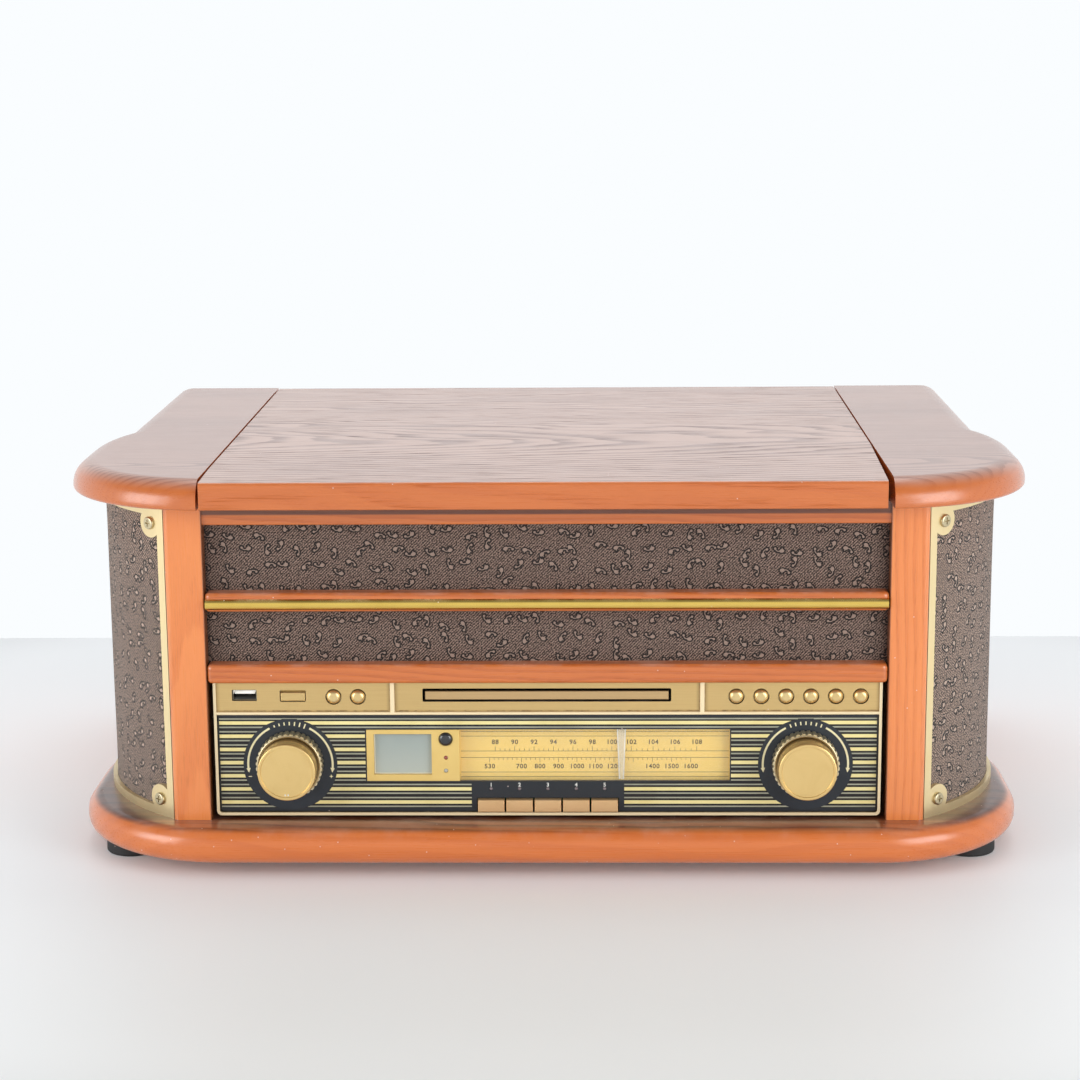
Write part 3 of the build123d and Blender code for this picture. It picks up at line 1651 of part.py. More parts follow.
with BuildPart() as drive_belt:
    with BuildSketch(Plane.XY.offset(deck_top + belt_lift + belt_gap)):
        with Locations((platter_x, platter_y)):
            Circle(belt_rim_radius + belt_gap + belt_thickness)
        with Locations((motor_x, motor_y)):
            Circle(pulley_radius + belt_gap + belt_thickness)
        make_hull()
        offset(amount=-belt_thickness, mode=Mode.SUBTRACT)
    extrude(amount=belt_height)
save(drive_belt, "drive_belt")

arm_axis_z = stylus_z + stylus_drop
arm_base_top = deck_top + arm_base_height
rest_y = arm_pivot_y - arm_rest_reach
head_y = arm_pivot_y - arm_length + headshell_length * 0.5
stylus_height = stylus_drop - headshell_drop - cartridge_gap - cartridge_height
stylus_taper = degrees(atan((stylus_width - stylus_tip) / 2 / stylus_height))

with BuildPart() as tonearm_base:
    with BuildSketch(Plane.XY.offset(deck_top)):
        with Locations((arm_pivot_x, arm_pivot_y)):
            Circle(arm_base_radius)
    extrude(amount=arm_base_height)
    fillet(edges().group_by(Axis.Z)[-1], arm_base_rounding)
    with BuildSketch(Plane.XY.offset(deck_top + arm_base_floor)):
        with Locations((arm_pivot_x, arm_pivot_y)):
            Circle(arm_shaft_radius + running_gap)
    extrude(amount=arm_base_height, mode=Mode.SUBTRACT)
    # the rest under the parked arm, with a stop on its outer side
    block(
        (arm_pivot_x - arm_rest_inner, arm_pivot_x + arm_rest_outer),
        (rest_y - arm_rest_half_depth, rest_y + arm_rest_half_depth),
        (deck_top, arm_axis_z - arm_tube_radius - yoke_gap),
    )
    block(
        (arm_pivot_x + arm_tube_radius + yoke_gap, arm_pivot_x + arm_rest_outer),
        (rest_y - arm_rest_half_depth, rest_y + arm_rest_half_depth),
        (deck_top, arm_axis_z + arm_rest_stop),
    )
save(tonearm_base, "tonearm_base")

with BuildPart() as tonearm_yoke:
    with BuildSketch(Plane.XY.offset(arm_base_top + yoke_gap)):
        with Locations((arm_pivot_x, arm_pivot_y)):
            Circle(arm_base_radius - yoke_edge)
    extrude(amount=yoke_flange)
    with BuildSketch(Plane.XY.offset(arm_base_top + yoke_gap)):
        with Locations((arm_pivot_x, arm_pivot_y)):
            Circle(arm_shaft_radius)
    extrude(amount=-arm_base_height + arm_base_floor)
    for side in (-1, 1):
        near = arm_pivot_x + side * (block_half_width + block_side_gap)
        far = near + side * upright_thickness
        block(
            (min(near, far), max(near, far)),
            (arm_pivot_y - upright_half_depth, arm_pivot_y + upright_half_depth),
            (arm_base_top + yoke_gap, arm_axis_z + upright_top),
        )
    with BuildSketch(Plane.YZ.offset(arm_pivot_x)):
        with Locations((arm_pivot_y, arm_axis_z)):
            Circle(arm_pin_radius + running_gap)
    extrude(amount=2 * arm_base_radius, both=True, mode=Mode.SUBTRACT)
save(tonearm_yoke, "tonearm_yoke")

head_plane = Plane(
    origin=(arm_pivot_x, head_y, arm_axis_z - headshell_drop),
    x_dir=(cos(radians(headshell_angle)), -sin(radians(headshell_angle)), 0),
    z_dir=(0, 0, 1),
)

with BuildPart() as tonearm:
    block(
        (arm_pivot_x - block_half_width, arm_pivot_x + block_half_width),
        (arm_pivot_y - block_half_depth, arm_pivot_y + block_half_depth),
        (arm_axis_z - block_half_height, arm_axis_z + block_half_height),
    )
    fillet(edges(), block_rounding)
    with BuildSketch(Plane.YZ.offset(arm_pivot_x)):
        with Locations((arm_pivot_y, arm_axis_z)):
            Circle(arm_pin_radius)
    extrude(amount=block_half_width + block_side_gap + upright_thickness, both=True)
    with BuildSketch(facing(arm_pivot_y)):
        with Locations((arm_pivot_x, arm_axis_z)):
            Circle(arm_tube_radius)
    extrude(amount=arm_pivot_y - head_y - headshell_length * 0.4)
    with BuildSketch(facing(arm_pivot_y)):
        with Locations((arm_pivot_x, arm_axis_z)):
            Circle(stub_radius)
    extrude(amount=-counterweight_centre - counterweight_length / 2 - overshoot)
    with BuildSketch(facing(arm_pivot_y + counterweight_centre - counterweight_length / 2)):
        with Locations((arm_pivot_x, arm_axis_z)):
            Circle(counterweight_radius)
            Circle(stub_radius + cartridge_gap, mode=Mode.SUBTRACT)
    extrude(amount=-counterweight_length)
    with BuildSketch(head_plane):
        Rectangle(headshell_width, headshell_length)
        fillet(vertices(), headshell_corner)
    extrude(amount=headshell_thickness)
    with BuildSketch(head_plane.offset(-cartridge_gap)):
        Rectangle(cartridge_width, cartridge_length)
    extrude(amount=-cartridge_height)
    with BuildSketch(head_plane.offset(-cartridge_gap - cartridge_height)):
        with Locations((0, -stylus_forward)):
            Rectangle(stylus_width, stylus_length)
    extrude(amount=-stylus_height, taper=stylus_taper)
save(tonearm, "tonearm")

with BuildPart() as speed_switch:
    # a small slider above the deck and a wider plate below it, joined by a stem
    with Locations((switch_x, switch_y, deck_top + switch_gap + switch_knob[2] / 2)):
        Box(*switch_knob)
    fillet(edges().group_by(Axis.Z)[-1], switch_rounding)
    block(
        (switch_x - switch_stem_width / 2, switch_x + switch_stem_width / 2),
        (switch_y - switch_stem_depth / 2, switch_y + switch_stem_depth / 2),
        (deck_bottom - switch_gap, deck_top + switch_gap),
    )
    with Locations((switch_x, switch_y, deck_bottom - switch_gap - switch_plate[2] / 2)):
        Box(*switch_plate)
save(speed_switch, "speed_switch")


# ---- rear sockets ----
socket_out = Plane(
    origin=(socket_plate_x, rear_edge, socket_plate_z), x_dir=(-1, 0, 0), z_dir=(0, 1, 0)
)

with BuildPart() as rear_sockets:
    with BuildSketch(socket_out):
        RectangleRounded(socket_plate_width, socket_plate_height, socket_plate_corner)
    extrude(amount=socket_plate_thickness)
    with BuildSketch(socket_out):
        with Locations((jack_x, 0)):
            Circle(jack_body_radius)
        with Locations((inlet_x, 0)):
            RectangleRounded(inlet_width + 2 * inlet_wall, inlet_height + 2 * inlet_wall, inlet_wall)
    extrude(amount=-inlet_depth)
    with BuildSketch(socket_out.offset(socket_plate_thickness)):
        with Locations((phono_x, phono_pitch / 2), (phono_x, -phono_pitch / 2)):
            Circle(phono_radius)
    extrude(amount=phono_proud)
    with BuildSketch(socket_out.offset(socket_plate_thickness + phono_proud)):
        with Locations((phono_x, phono_pitch / 2), (phono_x, -phono_pitch / 2)):
            Circle(phono_hole_radius)
    extrude(amount=-phono_proud, mode=Mode.SUBTRACT)
    with BuildSketch(socket_out.offset(socket_plate_thickness)):
        with Locations((jack_x, 0)):
            Circle(jack_bore_radius)
        with Locations((inlet_x, 0)):
            RectangleRounded(inlet_width, inlet_height, inlet_corner)
    extrude(amount=-jack_bore_length, mode=Mode.SUBTRACT)
    with BuildSketch(socket_out.offset(socket_plate_thickness - jack_bore_length)):
        with Locations((inlet_x, 0)):
            with GridLocations(inlet_pin_pitch, 1, 2, 1):
                Circle(inlet_pin_radius)
    extrude(amount=inlet_pin_length)
save(rear_sockets, "rear_sockets")
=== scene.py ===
import math

import bmesh
import bpy
from mathutils import Matrix, Vector


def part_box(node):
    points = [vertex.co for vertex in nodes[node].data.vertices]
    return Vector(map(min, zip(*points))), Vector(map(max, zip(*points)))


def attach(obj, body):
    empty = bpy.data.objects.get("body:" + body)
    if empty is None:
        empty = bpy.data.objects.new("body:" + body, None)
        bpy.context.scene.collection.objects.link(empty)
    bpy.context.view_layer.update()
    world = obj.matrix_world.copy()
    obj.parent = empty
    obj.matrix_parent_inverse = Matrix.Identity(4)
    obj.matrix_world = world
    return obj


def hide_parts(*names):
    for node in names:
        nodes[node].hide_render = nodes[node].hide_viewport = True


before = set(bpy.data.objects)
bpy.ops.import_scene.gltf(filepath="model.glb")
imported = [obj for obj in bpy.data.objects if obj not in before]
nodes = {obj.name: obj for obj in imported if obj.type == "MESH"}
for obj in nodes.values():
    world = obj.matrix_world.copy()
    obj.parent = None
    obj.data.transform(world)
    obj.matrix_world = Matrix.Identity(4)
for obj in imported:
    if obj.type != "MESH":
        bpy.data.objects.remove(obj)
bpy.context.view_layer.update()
scene = bpy.context.scene
mm = 0.001
print("stage: frame loaded")


class Look(dict):
    # a dictionary whose values are also read as look.name
    __getattr__ = dict.__getitem__


def metres(**lengths):
    # lengths given in millimetres
    def convert(value):
        return tuple(map(convert, value)) if isinstance(value, tuple) else value * mm

    return Look((name, convert(value)) for name, value in lengths.items())


def addObject(name, data):
    made = bpy.data.objects.new(name, data)
    scene.collection.objects.link(made)
    return made


# camera
viewpoint = Look(
    place=(0.0296, -1.4179, 0.4467), yaw=-0.0256, pitch=0.2057, roll=-0.008, lens=81.49, sensor=36,
)


def placeCamera(look):
    yaw, pitch, roll = look.yaw, look.pitch, look.roll
    level = Vector((math.cos(yaw), -math.sin(yaw), 0))
    flat = Vector((math.sin(yaw), math.cos(yaw), 0))
    ahead = flat * math.cos(pitch) - Vector((0, 0, math.sin(pitch)))
    over = level.cross(ahead)
    right = math.cos(roll) * level + math.sin(roll) * over
    up = math.cos(roll) * over - math.sin(roll) * level
    turn = Matrix((right, up, -ahead)).transposed().to_4x4()
    data = bpy.data.cameras.new("camera")
    data.lens = look.lens
    data.sensor_width = look.sensor
    data.dof.use_dof = False
    holder = addObject("camera", data)
    holder.matrix_world = Matrix.Translation(look.place) @ turn
    scene.camera = holder


placeCamera(viewpoint)
scene.view_settings.view_transform = "Standard"


# colours are written as 0 to 255 screen values
def paint(red, green, blue):
    def linear(value):
        value = value / 255
        return value / 12.92 if value <= 0.04045 else ((value + 0.055) / 1.055) ** 2.4

    return (linear(red), linear(green), linear(blue), 1.0)


# nodes; each finds its tree through the sockets that feed it, unless it has none
def plug(node, sockets):
    # links a socket, sets a value, and paints a colour given as three numbers
    for name, value in sockets.items():
        socket = node.inputs[name]
        if isinstance(value, bpy.types.NodeSocket):
            node.id_data.links.new(value, socket)
        elif socket.type == "RGBA" and len(value) == 3:
            socket.default_value = paint(*value)
        else:
            socket.default_value = value


def addNode(kind, sockets, tree=None, **settings):
    # adds a node and gives its outputs
    feeds = [value for value in sockets.values() if isinstance(value, bpy.types.NodeSocket)]
    node = (tree or feeds[0].id_data).nodes.new("ShaderNode" + kind)
    for name, value in settings.items():
        setattr(node, name, value)
    plug(node, sockets)
    return node.outputs


def maths(operation):
    def run(*values, clamp=False):
        sockets = dict(enumerate(values))
        return addNode("Math", sockets, operation=operation, use_clamp=clamp)[0]

    return run


plus, minus, times, divide = maths("ADD"), maths("SUBTRACT"), maths("MULTIPLY"), maths("DIVIDE")
timesPlus, highest, lowest = maths("MULTIPLY_ADD"), maths("MAXIMUM"), maths("MINIMUM")
isOver, isUnder, absolute = maths("GREATER_THAN"), maths("LESS_THAN"), maths("ABSOLUTE")
fraction, sine = maths("FRACT"), maths("SINE")


def calcVector(operation, *values):
    ends = addNode("VectorMath", dict(enumerate(values)), operation=operation)
    return ends["Value" if operation == "LENGTH" else "Vector"]


def stretch(place, x, y, z):
    return calcVector("MULTIPLY", place, (x, y, z))


def enlarge(vector, factor):
    return addNode("VectorMath", {0: vector, "Scale": factor}, operation="SCALE")[0]


def separate(vector):
    return addNode("SeparateXYZ", {0: vector})[:3]


def mix(factor, first, second):
    return addNode("Mix", {0: factor, 6: first, 7: second}, data_type="RGBA")[2]


def fade(value, start, end, low=0.0, high=1.0):
    # from low to high as value goes from start to end, smoothly
    sockets = {"Value": value, "From Min": start, "From Max": end, "To Min": low, "To Max": high}
    return addNode("MapRange", sockets, interpolation_type="SMOOTHSTEP")[0]


def noise(place, scale, detail=3.0, roughness=0.5, distortion=0.0):
    sockets = {"Vector": place, "Scale": scale, "Detail": detail, "Roughness": roughness}
    return addNode("TexNoise", {**sockets, "Distortion": distortion})[0]


def newGroup(name, inputs, outputs):
    # inputs and outputs give the names of the sockets of each kind
    group = bpy.data.node_groups.new(name, "ShaderNodeTree")
    kinds = {"vector": "NodeSocketVector", "value": "NodeSocketFloat", "colour": "NodeSocketColor"}
    for way, sockets in (("INPUT", inputs), ("OUTPUT", outputs)):
        for kind, titles in sockets.items():
            for title in titles:
                group.interface.new_socket(title, in_out=way, socket_type=kinds[kind])
    entry = group.nodes.new("NodeGroupInput").outputs
    return group, entry, group.nodes.new("NodeGroupOutput")


def runGroup(group, sockets):
    return addNode("Group", sockets, node_tree=group)


def newMaterial(name):
    material = bpy.data.materials.new(name)
    material.use_nodes = True
    spot = addNode("TexCoord", {}, material.node_tree)
    return material, spot["Object"], spot["Normal"]


def closeMaterial(material, sockets, height, strength, depth):
    # feeds the shader, with a bump of this height map
    bump = addNode("Bump", {"Height": height, "Strength": strength, "Distance": depth})
    sockets["Normal"] = bump["Normal"]
    plug(material.node_tree.nodes["Principled BSDF"], sockets)
    return material


# wood: rings round a heart line that leans a little off the board, and fine open pores
def makeWoodGroup():
    values = ("Lean", "Ring", "Wander", "Pores", "Fineness")
    group, entry, leave = newGroup(
        "woodGrain",
        {"vector": ("Place", "Heart"), "value": values},
        {"value": ("Tone", "Pore", "Height", "Sheen")},
    )
    place = enlarge(entry["Place"], 1000)
    slow = noise(stretch(place, 0.006, 0.022, 0.022), 1.0, 2.0)
    slow = times(minus(slow, 0.5), entry["Wander"])
    quick = noise(stretch(place, 0.03, 0.25, 0.25), 1.0, 3.0)
    quick = times(minus(quick, 0.5), 1.6)
    x, y, z = separate(calcVector("ADD", place, entry["Heart"]))
    leaning = plus(timesPlus(x, entry["Lean"], z), slow)
    across = plus(y, slow)
    flat = addNode("CombineXYZ", {1: across, 2: leaning})
    reach = plus(calcVector("LENGTH", flat[0]), quick)
    phase = fraction(divide(reach, entry["Ring"]))
    early = lowest(fade(phase, 0.0, 0.12), fade(phase, 0.75, 0.15))
    fibre = noise(stretch(place, 0.035, 1.3, 1.3), 1.0, 4.0, 0.6)
    broad = noise(stretch(place, 0.008, 0.03, 0.03), 1.0, 2.0)
    fine = enlarge(stretch(place, 0.09, 2.6, 2.6), entry["Fineness"])
    streak = fade(noise(fine, 1.0, 2.0, 0.55), 0.53, 0.66)
    where = timesPlus(early, 0.75, 0.25)
    pore = times(times(streak, where), entry["Pores"])
    tone = timesPlus(early, 0.5, times(fibre, 0.45))
    tone = plus(tone, times(minus(broad, 0.5), 0.9))
    ends = {
        "Tone": minus(tone, 0.05, clamp=True),
        "Pore": pore,
        "Height": timesPlus(pore, -1.0, times(fibre, 0.25)),
        "Sheen": timesPlus(pore, 0.6, times(fibre, 0.4)),
    }
    plug(leave, ends)
    return group


# dust: a thin film and single specks on what faces up, fewer on upright faces
def makeDustGroup():
    group, entry, leave = newGroup(
        "settledDust",
        {"vector": ("Place", "Facing"), "value": ("Film", "Specks")},
        {"value": ("Mask",)},
    )
    upward = fade(separate(entry["Facing"])[2], 0.2, 0.95)
    cloud = fade(noise(entry["Place"], 45.0, 6.0, 0.62), 0.38, 0.72)
    total = times(times(cloud, upward), entry["Film"])
    for scale, size in ((420.0, 0.17), (150.0, 0.075)):
        cells = addNode("TexVoronoi", {"Vector": entry["Place"], "Scale": scale})
        shown = addNode("SeparateColor", {0: cells["Color"]})
        dot = fade(cells["Distance"], size, size * 0.5)
        kept = isOver(entry["Specks"], shown[0])
        total = highest(total, times(dot, kept))
    plug(leave, {"Mask": total})
    return group


# speaker cloth: a diagonal twill with small woven sprigs, each turned its own way
def makeClothGroup():
    group, entry, leave = newGroup(
        "sprigTwill",
        {"vector": ("Place",), "colour": ("Ground", "Thread", "Sprig", "Edge"), "value": ("Spacing",)},
        {"colour": ("Colour",), "value": ("Height",)},
    )
    place = stretch(entry["Place"], 1000, 1000, 0)
    loose = noise(place, 0.35, 2.0)
    x, y, _ = separate(place)
    slant = plus(minus(x, y), times(loose, 0.5))
    twill = timesPlus(sine(times(slant, 3.7)), 0.5, 0.5)
    weft = timesPlus(sine(times(plus(x, y), 9.0)), 0.5, 0.5)
    yarn = noise(place, 1.25, 3.0, 0.65)
    ridge = timesPlus(twill, 0.85, times(weft, 0.1))
    ridge = plus(ridge, times(minus(yarn, 0.52), 5.2))

    # one sprig to a cell, turned by the cell's luck, drawn in millimetres round its middle
    scaled = enlarge(place, divide(1.0, entry["Spacing"]))
    sockets = {"Vector": scaled, "Scale": 1.0, "Randomness": 0.62}
    cells = addNode("TexVoronoi", sockets, voronoi_dimensions="2D")
    away = calcVector("SUBTRACT", scaled, cells["Position"])
    luck = addNode("SeparateColor", {0: cells["Color"]})
    sockets = {"Vector": away, "Angle": times(luck[0], 6.2832)}
    turned = addNode("VectorRotate", sockets, rotation_type="Z_AXIS")
    here = enlarge(turned[0], entry["Spacing"])

    def distanceTo(x, y, squeeze=1.0):
        moved = calcVector("SUBTRACT", here, (x, y, 0))
        return calcVector("LENGTH", stretch(moved, 1.0, squeeze, 0))

    leaf = minus(distanceTo(-1.3, 0.5, 1.35), 1.3)
    bend = minus(absolute(minus(distanceTo(0.1, -1.3), 1.8)), 0.22)
    bend = highest(bend, minus(-1.0, separate(here)[1]))
    bud = minus(distanceTo(2.0, -1.3), 0.62)
    shape = lowest(lowest(leaf, bend), bud)
    sprig = fade(shape, 0.12, -0.12)
    rim = times(fade(shape, 1.15, 0.6), minus(1.0, sprig))

    ground = mix(ridge, entry["Ground"], entry["Thread"])
    ground = mix(times(rim, 0.95), ground, entry["Edge"])
    bright = mix(times(luck[1], 0.35), entry["Sprig"], entry["Thread"])
    height = timesPlus(sprig, 0.9, times(ridge, 0.5))
    height = minus(height, times(rim, 0.6))
    plug(leave, {"Colour": mix(sprig, ground, bright), "Height": height})
    return group


# skin: the fine grain, faint smears and uneven gloss of moulded or painted parts
def makeSkinGroup():
    outputs = {"value": ("Grain", "Smear", "Line")}
    group, entry, leave = newGroup("mouldedSkin", {"vector": ("Place", "Along")}, outputs)
    drawn = calcVector("MULTIPLY", entry["Place"], entry["Along"])
    ends = {
        "Grain": noise(entry["Place"], 2600.0, 2.0, 0.6),
        "Smear": fade(noise(entry["Place"], 38.0, 5.0, 0.6, 0.6), 0.35, 0.75),
        "Line": noise(drawn, 1.0, 4.0, 0.65),
    }
    plug(leave, ends)
    return group


# rings: fine turned lines round a shaft that lies along y or z
def makeTurnedGroup():
    inputs = {"vector": ("Place", "Centre", "Keep"), "value": ("Pitch",)}
    group, entry, leave = newGroup("turnedLines", inputs, {"value": ("Line", "Radius")})
    off = calcVector("SUBTRACT", entry["Place"], entry["Centre"])
    radius = calcVector("LENGTH", calcVector("MULTIPLY", off, entry["Keep"]))
    flat = addNode("CombineXYZ", {0: divide(radius, entry["Pitch"])})
    line = noise(flat[0], 1.0, 4.0, 0.7)
    plug(leave, {"Line": line, "Radius": radius})
    return group


woodGrain = makeWoodGroup()
settledDust = makeDustGroup()
sprigTwill = makeClothGroup()
mouldedSkin = makeSkinGroup()
turnedLines = makeTurnedGroup()
print("stage: node groups made")


def skinAt(place, along=(60, 60, 60)):
    return runGroup(mouldedSkin, {"Place": place, "Along": along})


def dustAt(place, facing, film, specks):
    sockets = {"Place": place, "Facing": facing, "Film": film, "Specks": specks}
    return runGroup(settledDust, sockets)["Mask"]


# wooden boards
lacquer = Look(
    pale=(232, 132, 60), dark=(186, 84, 30), pore=(98, 38, 15), roughness=0.24, coat=1.0,
    coatRoughness=0.24, specular=0.35, joint=(56, 24, 12), dust=(232, 214, 204),
)

# each board: its heart line in millimetres, its looks and, unless it is x, the axis of its grain
# shade scales a board's lacquer colours down, as painted shade for the boards that catch less light,
# such as the rails and the lips
railCut = Look(lean=0.03, shade=0.87, plain=0.5, film=0.35, specks=0.03)
boardCuts = Look(
    lid=Look(
        heart=(0, 40, -150), lean=0.10, ring=4.6, wander=24, pores=1.0, fineness=0.42, shade=0.88,
        plain=0.2, seam=(202.6, 203.5, 0.6), top=((206, 156, 134), (152, 98, 76), (84, 42, 30)),
        topRough=0.05, film=0.10, specks=0.010,
    ),
    side_top_boards=Look(
        heart=(0, 120, -190), lean=0.06, ring=3.2, wander=12, pores=0.35, lip=0.55, shade=0.86,
        plain=0.14, top=((186, 134, 114), (152, 102, 84), (104, 62, 48)), topRough=0.05, film=0.06,
        specks=0.008,
    ),
    front_posts=Look(
        order="zxy", heart=(0, 190, 190), lean=0.05, ring=4.5, wander=8, pores=0.45, shade=1.0,
        pair=((243, 150, 82), (206, 104, 44), (104, 44, 20)), plain=0.45, edge=(182.6, 183.4, 0.75),
        film=0.12, specks=0.02,
    ),
    top_front_rail=Look(
        railCut, heart=(0, 170, -160), ring=3.4, wander=8, pores=0.35, seam=(196.6, 195.6, 0.8),
        shade=0.9, film=0.1, specks=0.015,
    ),
    middle_rail=Look(railCut, heart=(0, 170, -125), ring=3.0, wander=7, pores=0.4),
    lower_rail=Look(railCut, heart=(0, 175, -80), ring=3.2, wander=9, pores=0.45),
    side_panels=Look(
        order="zyx", heart=(0, 40, -180), lean=0.05, ring=5.0, wander=14, pores=0.6, shade=0.9,
        plain=0.9, film=0.1, specks=0.008,
    ),
    base_board=Look(
        heart=(0, 60, -120), lean=0.03, ring=7.0, wander=16, pores=0.22, lip=0.75, shade=1.0,
        plain=0.22, top=((172, 98, 58), (124, 64, 36), (58, 26, 14)), topRough=0.12, grime=(-158, -149),
        film=0.16, specks=0.05,
    ),
)


def makeBoard(name, cut):
    material, place, facing = newMaterial(name + "_wood")
    parts = dict(zip("xyz", separate(place)))
    turned = dict(enumerate(parts[axis] for axis in cut.get("order", "xyz")))
    sockets = {title: cut[title.lower()] for title in ("Heart", "Lean", "Ring", "Wander", "Pores")}
    sockets["Place"] = addNode("CombineXYZ", turned)[0]
    sockets["Fineness"] = cut.get("fineness", 1.0)
    grain = runGroup(woodGrain, sockets)
    # the lacquer colours darkened by the board's shade, as painted shade
    pale, dark, pore = cut.get("pair") or (
        tuple(value * cut.shade for value in paint(*lacquer[part])[:3]) + (1.0,)
        for part in ("pale", "dark", "pore")
    )
    tone = timesPlus(grain["Tone"], cut.plain, 0.5 - cut.plain / 2)
    colour = mix(tone, pale, dark)
    colour = mix(times(grain["Pore"], cut.plain), colour, pore)
    rough = timesPlus(grain["Sheen"], 0.2, lacquer.roughness)
    # faces that look up take the top colours; where lip is set, the blend reaches down over the lips'
    # upper curves as painted shade
    if "top" in cut:
        pale, dark, pore = cut.top
        above = mix(fade(grain["Tone"], 0.15, 0.8), pale, dark)
        above = mix(grain["Pore"], above, pore)
        # on the base's top, the colour darkens towards the foot of the front panel
        if "grime" in cut:
            near = fade(parts["y"], cut.grime[0] * mm, cut.grime[1] * mm)
            above = mix(times(near, 0.75), above, pore)
        upward = fade(separate(facing)[2], cut.get("lip", 0.9), 0.99)
        colour = mix(upward, colour, above)
        rough = plus(rough, times(upward, cut.topRough))
    # painted shade in the gaps: a dark line along the lid's lower front edge and on the rail just under
    # the lid's nose, and along the posts' inner edges
    if "seam" in cut:
        start, end, depth = cut.seam
        joint = fade(parts["z"], start * mm, end * mm, depth, 0.0)
        colour = mix(joint, colour, lacquer.joint)
    if "edge" in cut:
        start, end, depth = cut.edge
        joint = fade(absolute(parts["x"]), start * mm, end * mm, depth, 0.0)
        colour = mix(joint, colour, lacquer.joint)
    dust = dustAt(place, facing, cut.film, cut.specks)
    # the lacquer has sunk into the pores, and dust lies over it
    bare = highest(times(grain["Pore"], 0.9), dust)
    sockets = {
        "Base Color": mix(times(dust, 0.8), colour, lacquer.dust),
        "Roughness": plus(rough, times(dust, 0.35)),
        "Coat Weight": timesPlus(bare, -lacquer.coat, lacquer.coat, clamp=True),
        "Coat Roughness": lacquer.coatRoughness,
        "Specular IOR Level": lacquer.specular,
    }
    return closeMaterial(material, sockets, grain["Height"], 0.4, 0.14 * mm)


def dress(node, material):
    for place in nodes[node].material_slots:
        place.link = "OBJECT"
        place.material = material


for boardName, boardCut in boardCuts.items():
    dress(boardName, makeBoard(boardName, boardCut))
print("stage: boards dressed")


# bare boards inside and behind
def makeBareBoard(name, pale, dark, fleck):
    material, place, _ = newMaterial(name)
    broad = noise(place, 14.0, 4.0)
    fibre = noise(stretch(place, 900, 900, 900), 1.0, 3.0, 0.7)
    flecks = times(fade(fibre, 0.52, 0.7), 0.6)
    sockets = {
        "Base Color": mix(flecks, mix(broad, pale, dark), fleck),
        "Roughness": fade(fibre, 0.2, 0.8, 0.6, 0.85),
    }
    return closeMaterial(material, sockets, fibre, 0.4, 0.2 * mm)


bareBoard = makeBareBoard("bare_board", (150, 116, 82), (118, 86, 58), (86, 60, 38))
blackBoard = makeBareBoard("stained_board", (52, 46, 42), (36, 32, 30), (70, 62, 56))
for boardName in ("rear_panel", "speaker_baffles"):
    dress(boardName, blackBoard)
dress("inner_walls", bareBoard)


# metals and plastics
def makeFinish(name, look):
    material, place, facing = newMaterial(name)
    skin = skinAt(place, look.get("along", (60, 60, 60)))
    amount = plus(times(skin["Line"], 0.4), times(skin["Smear"], 0.3))
    colour = mix(amount, look.colour, look.worn)
    rough = timesPlus(skin["Smear"], 0.12, look.roughness)
    metal = look.get("metal", 0.0)
    if "dust" in look:
        dust = dustAt(place, facing, look.dust, look.get("specks", 0.01))
        colour = mix(times(dust, 0.7), colour, lacquer.dust)
        rough = plus(rough, times(dust, 0.3))
        metal = times(minus(1.0, dust), metal)
    sockets = {"Base Color": colour, "Roughness": rough, "Metallic": metal}
    grain = times(skin["Grain"], look.get("grain", 0.4))
    height = timesPlus(skin["Line"], look.get("drawn", 0.0), grain)
    return closeMaterial(material, sockets, height, look.get("bump", 0.2), look.get("depth", 0.04 * mm))


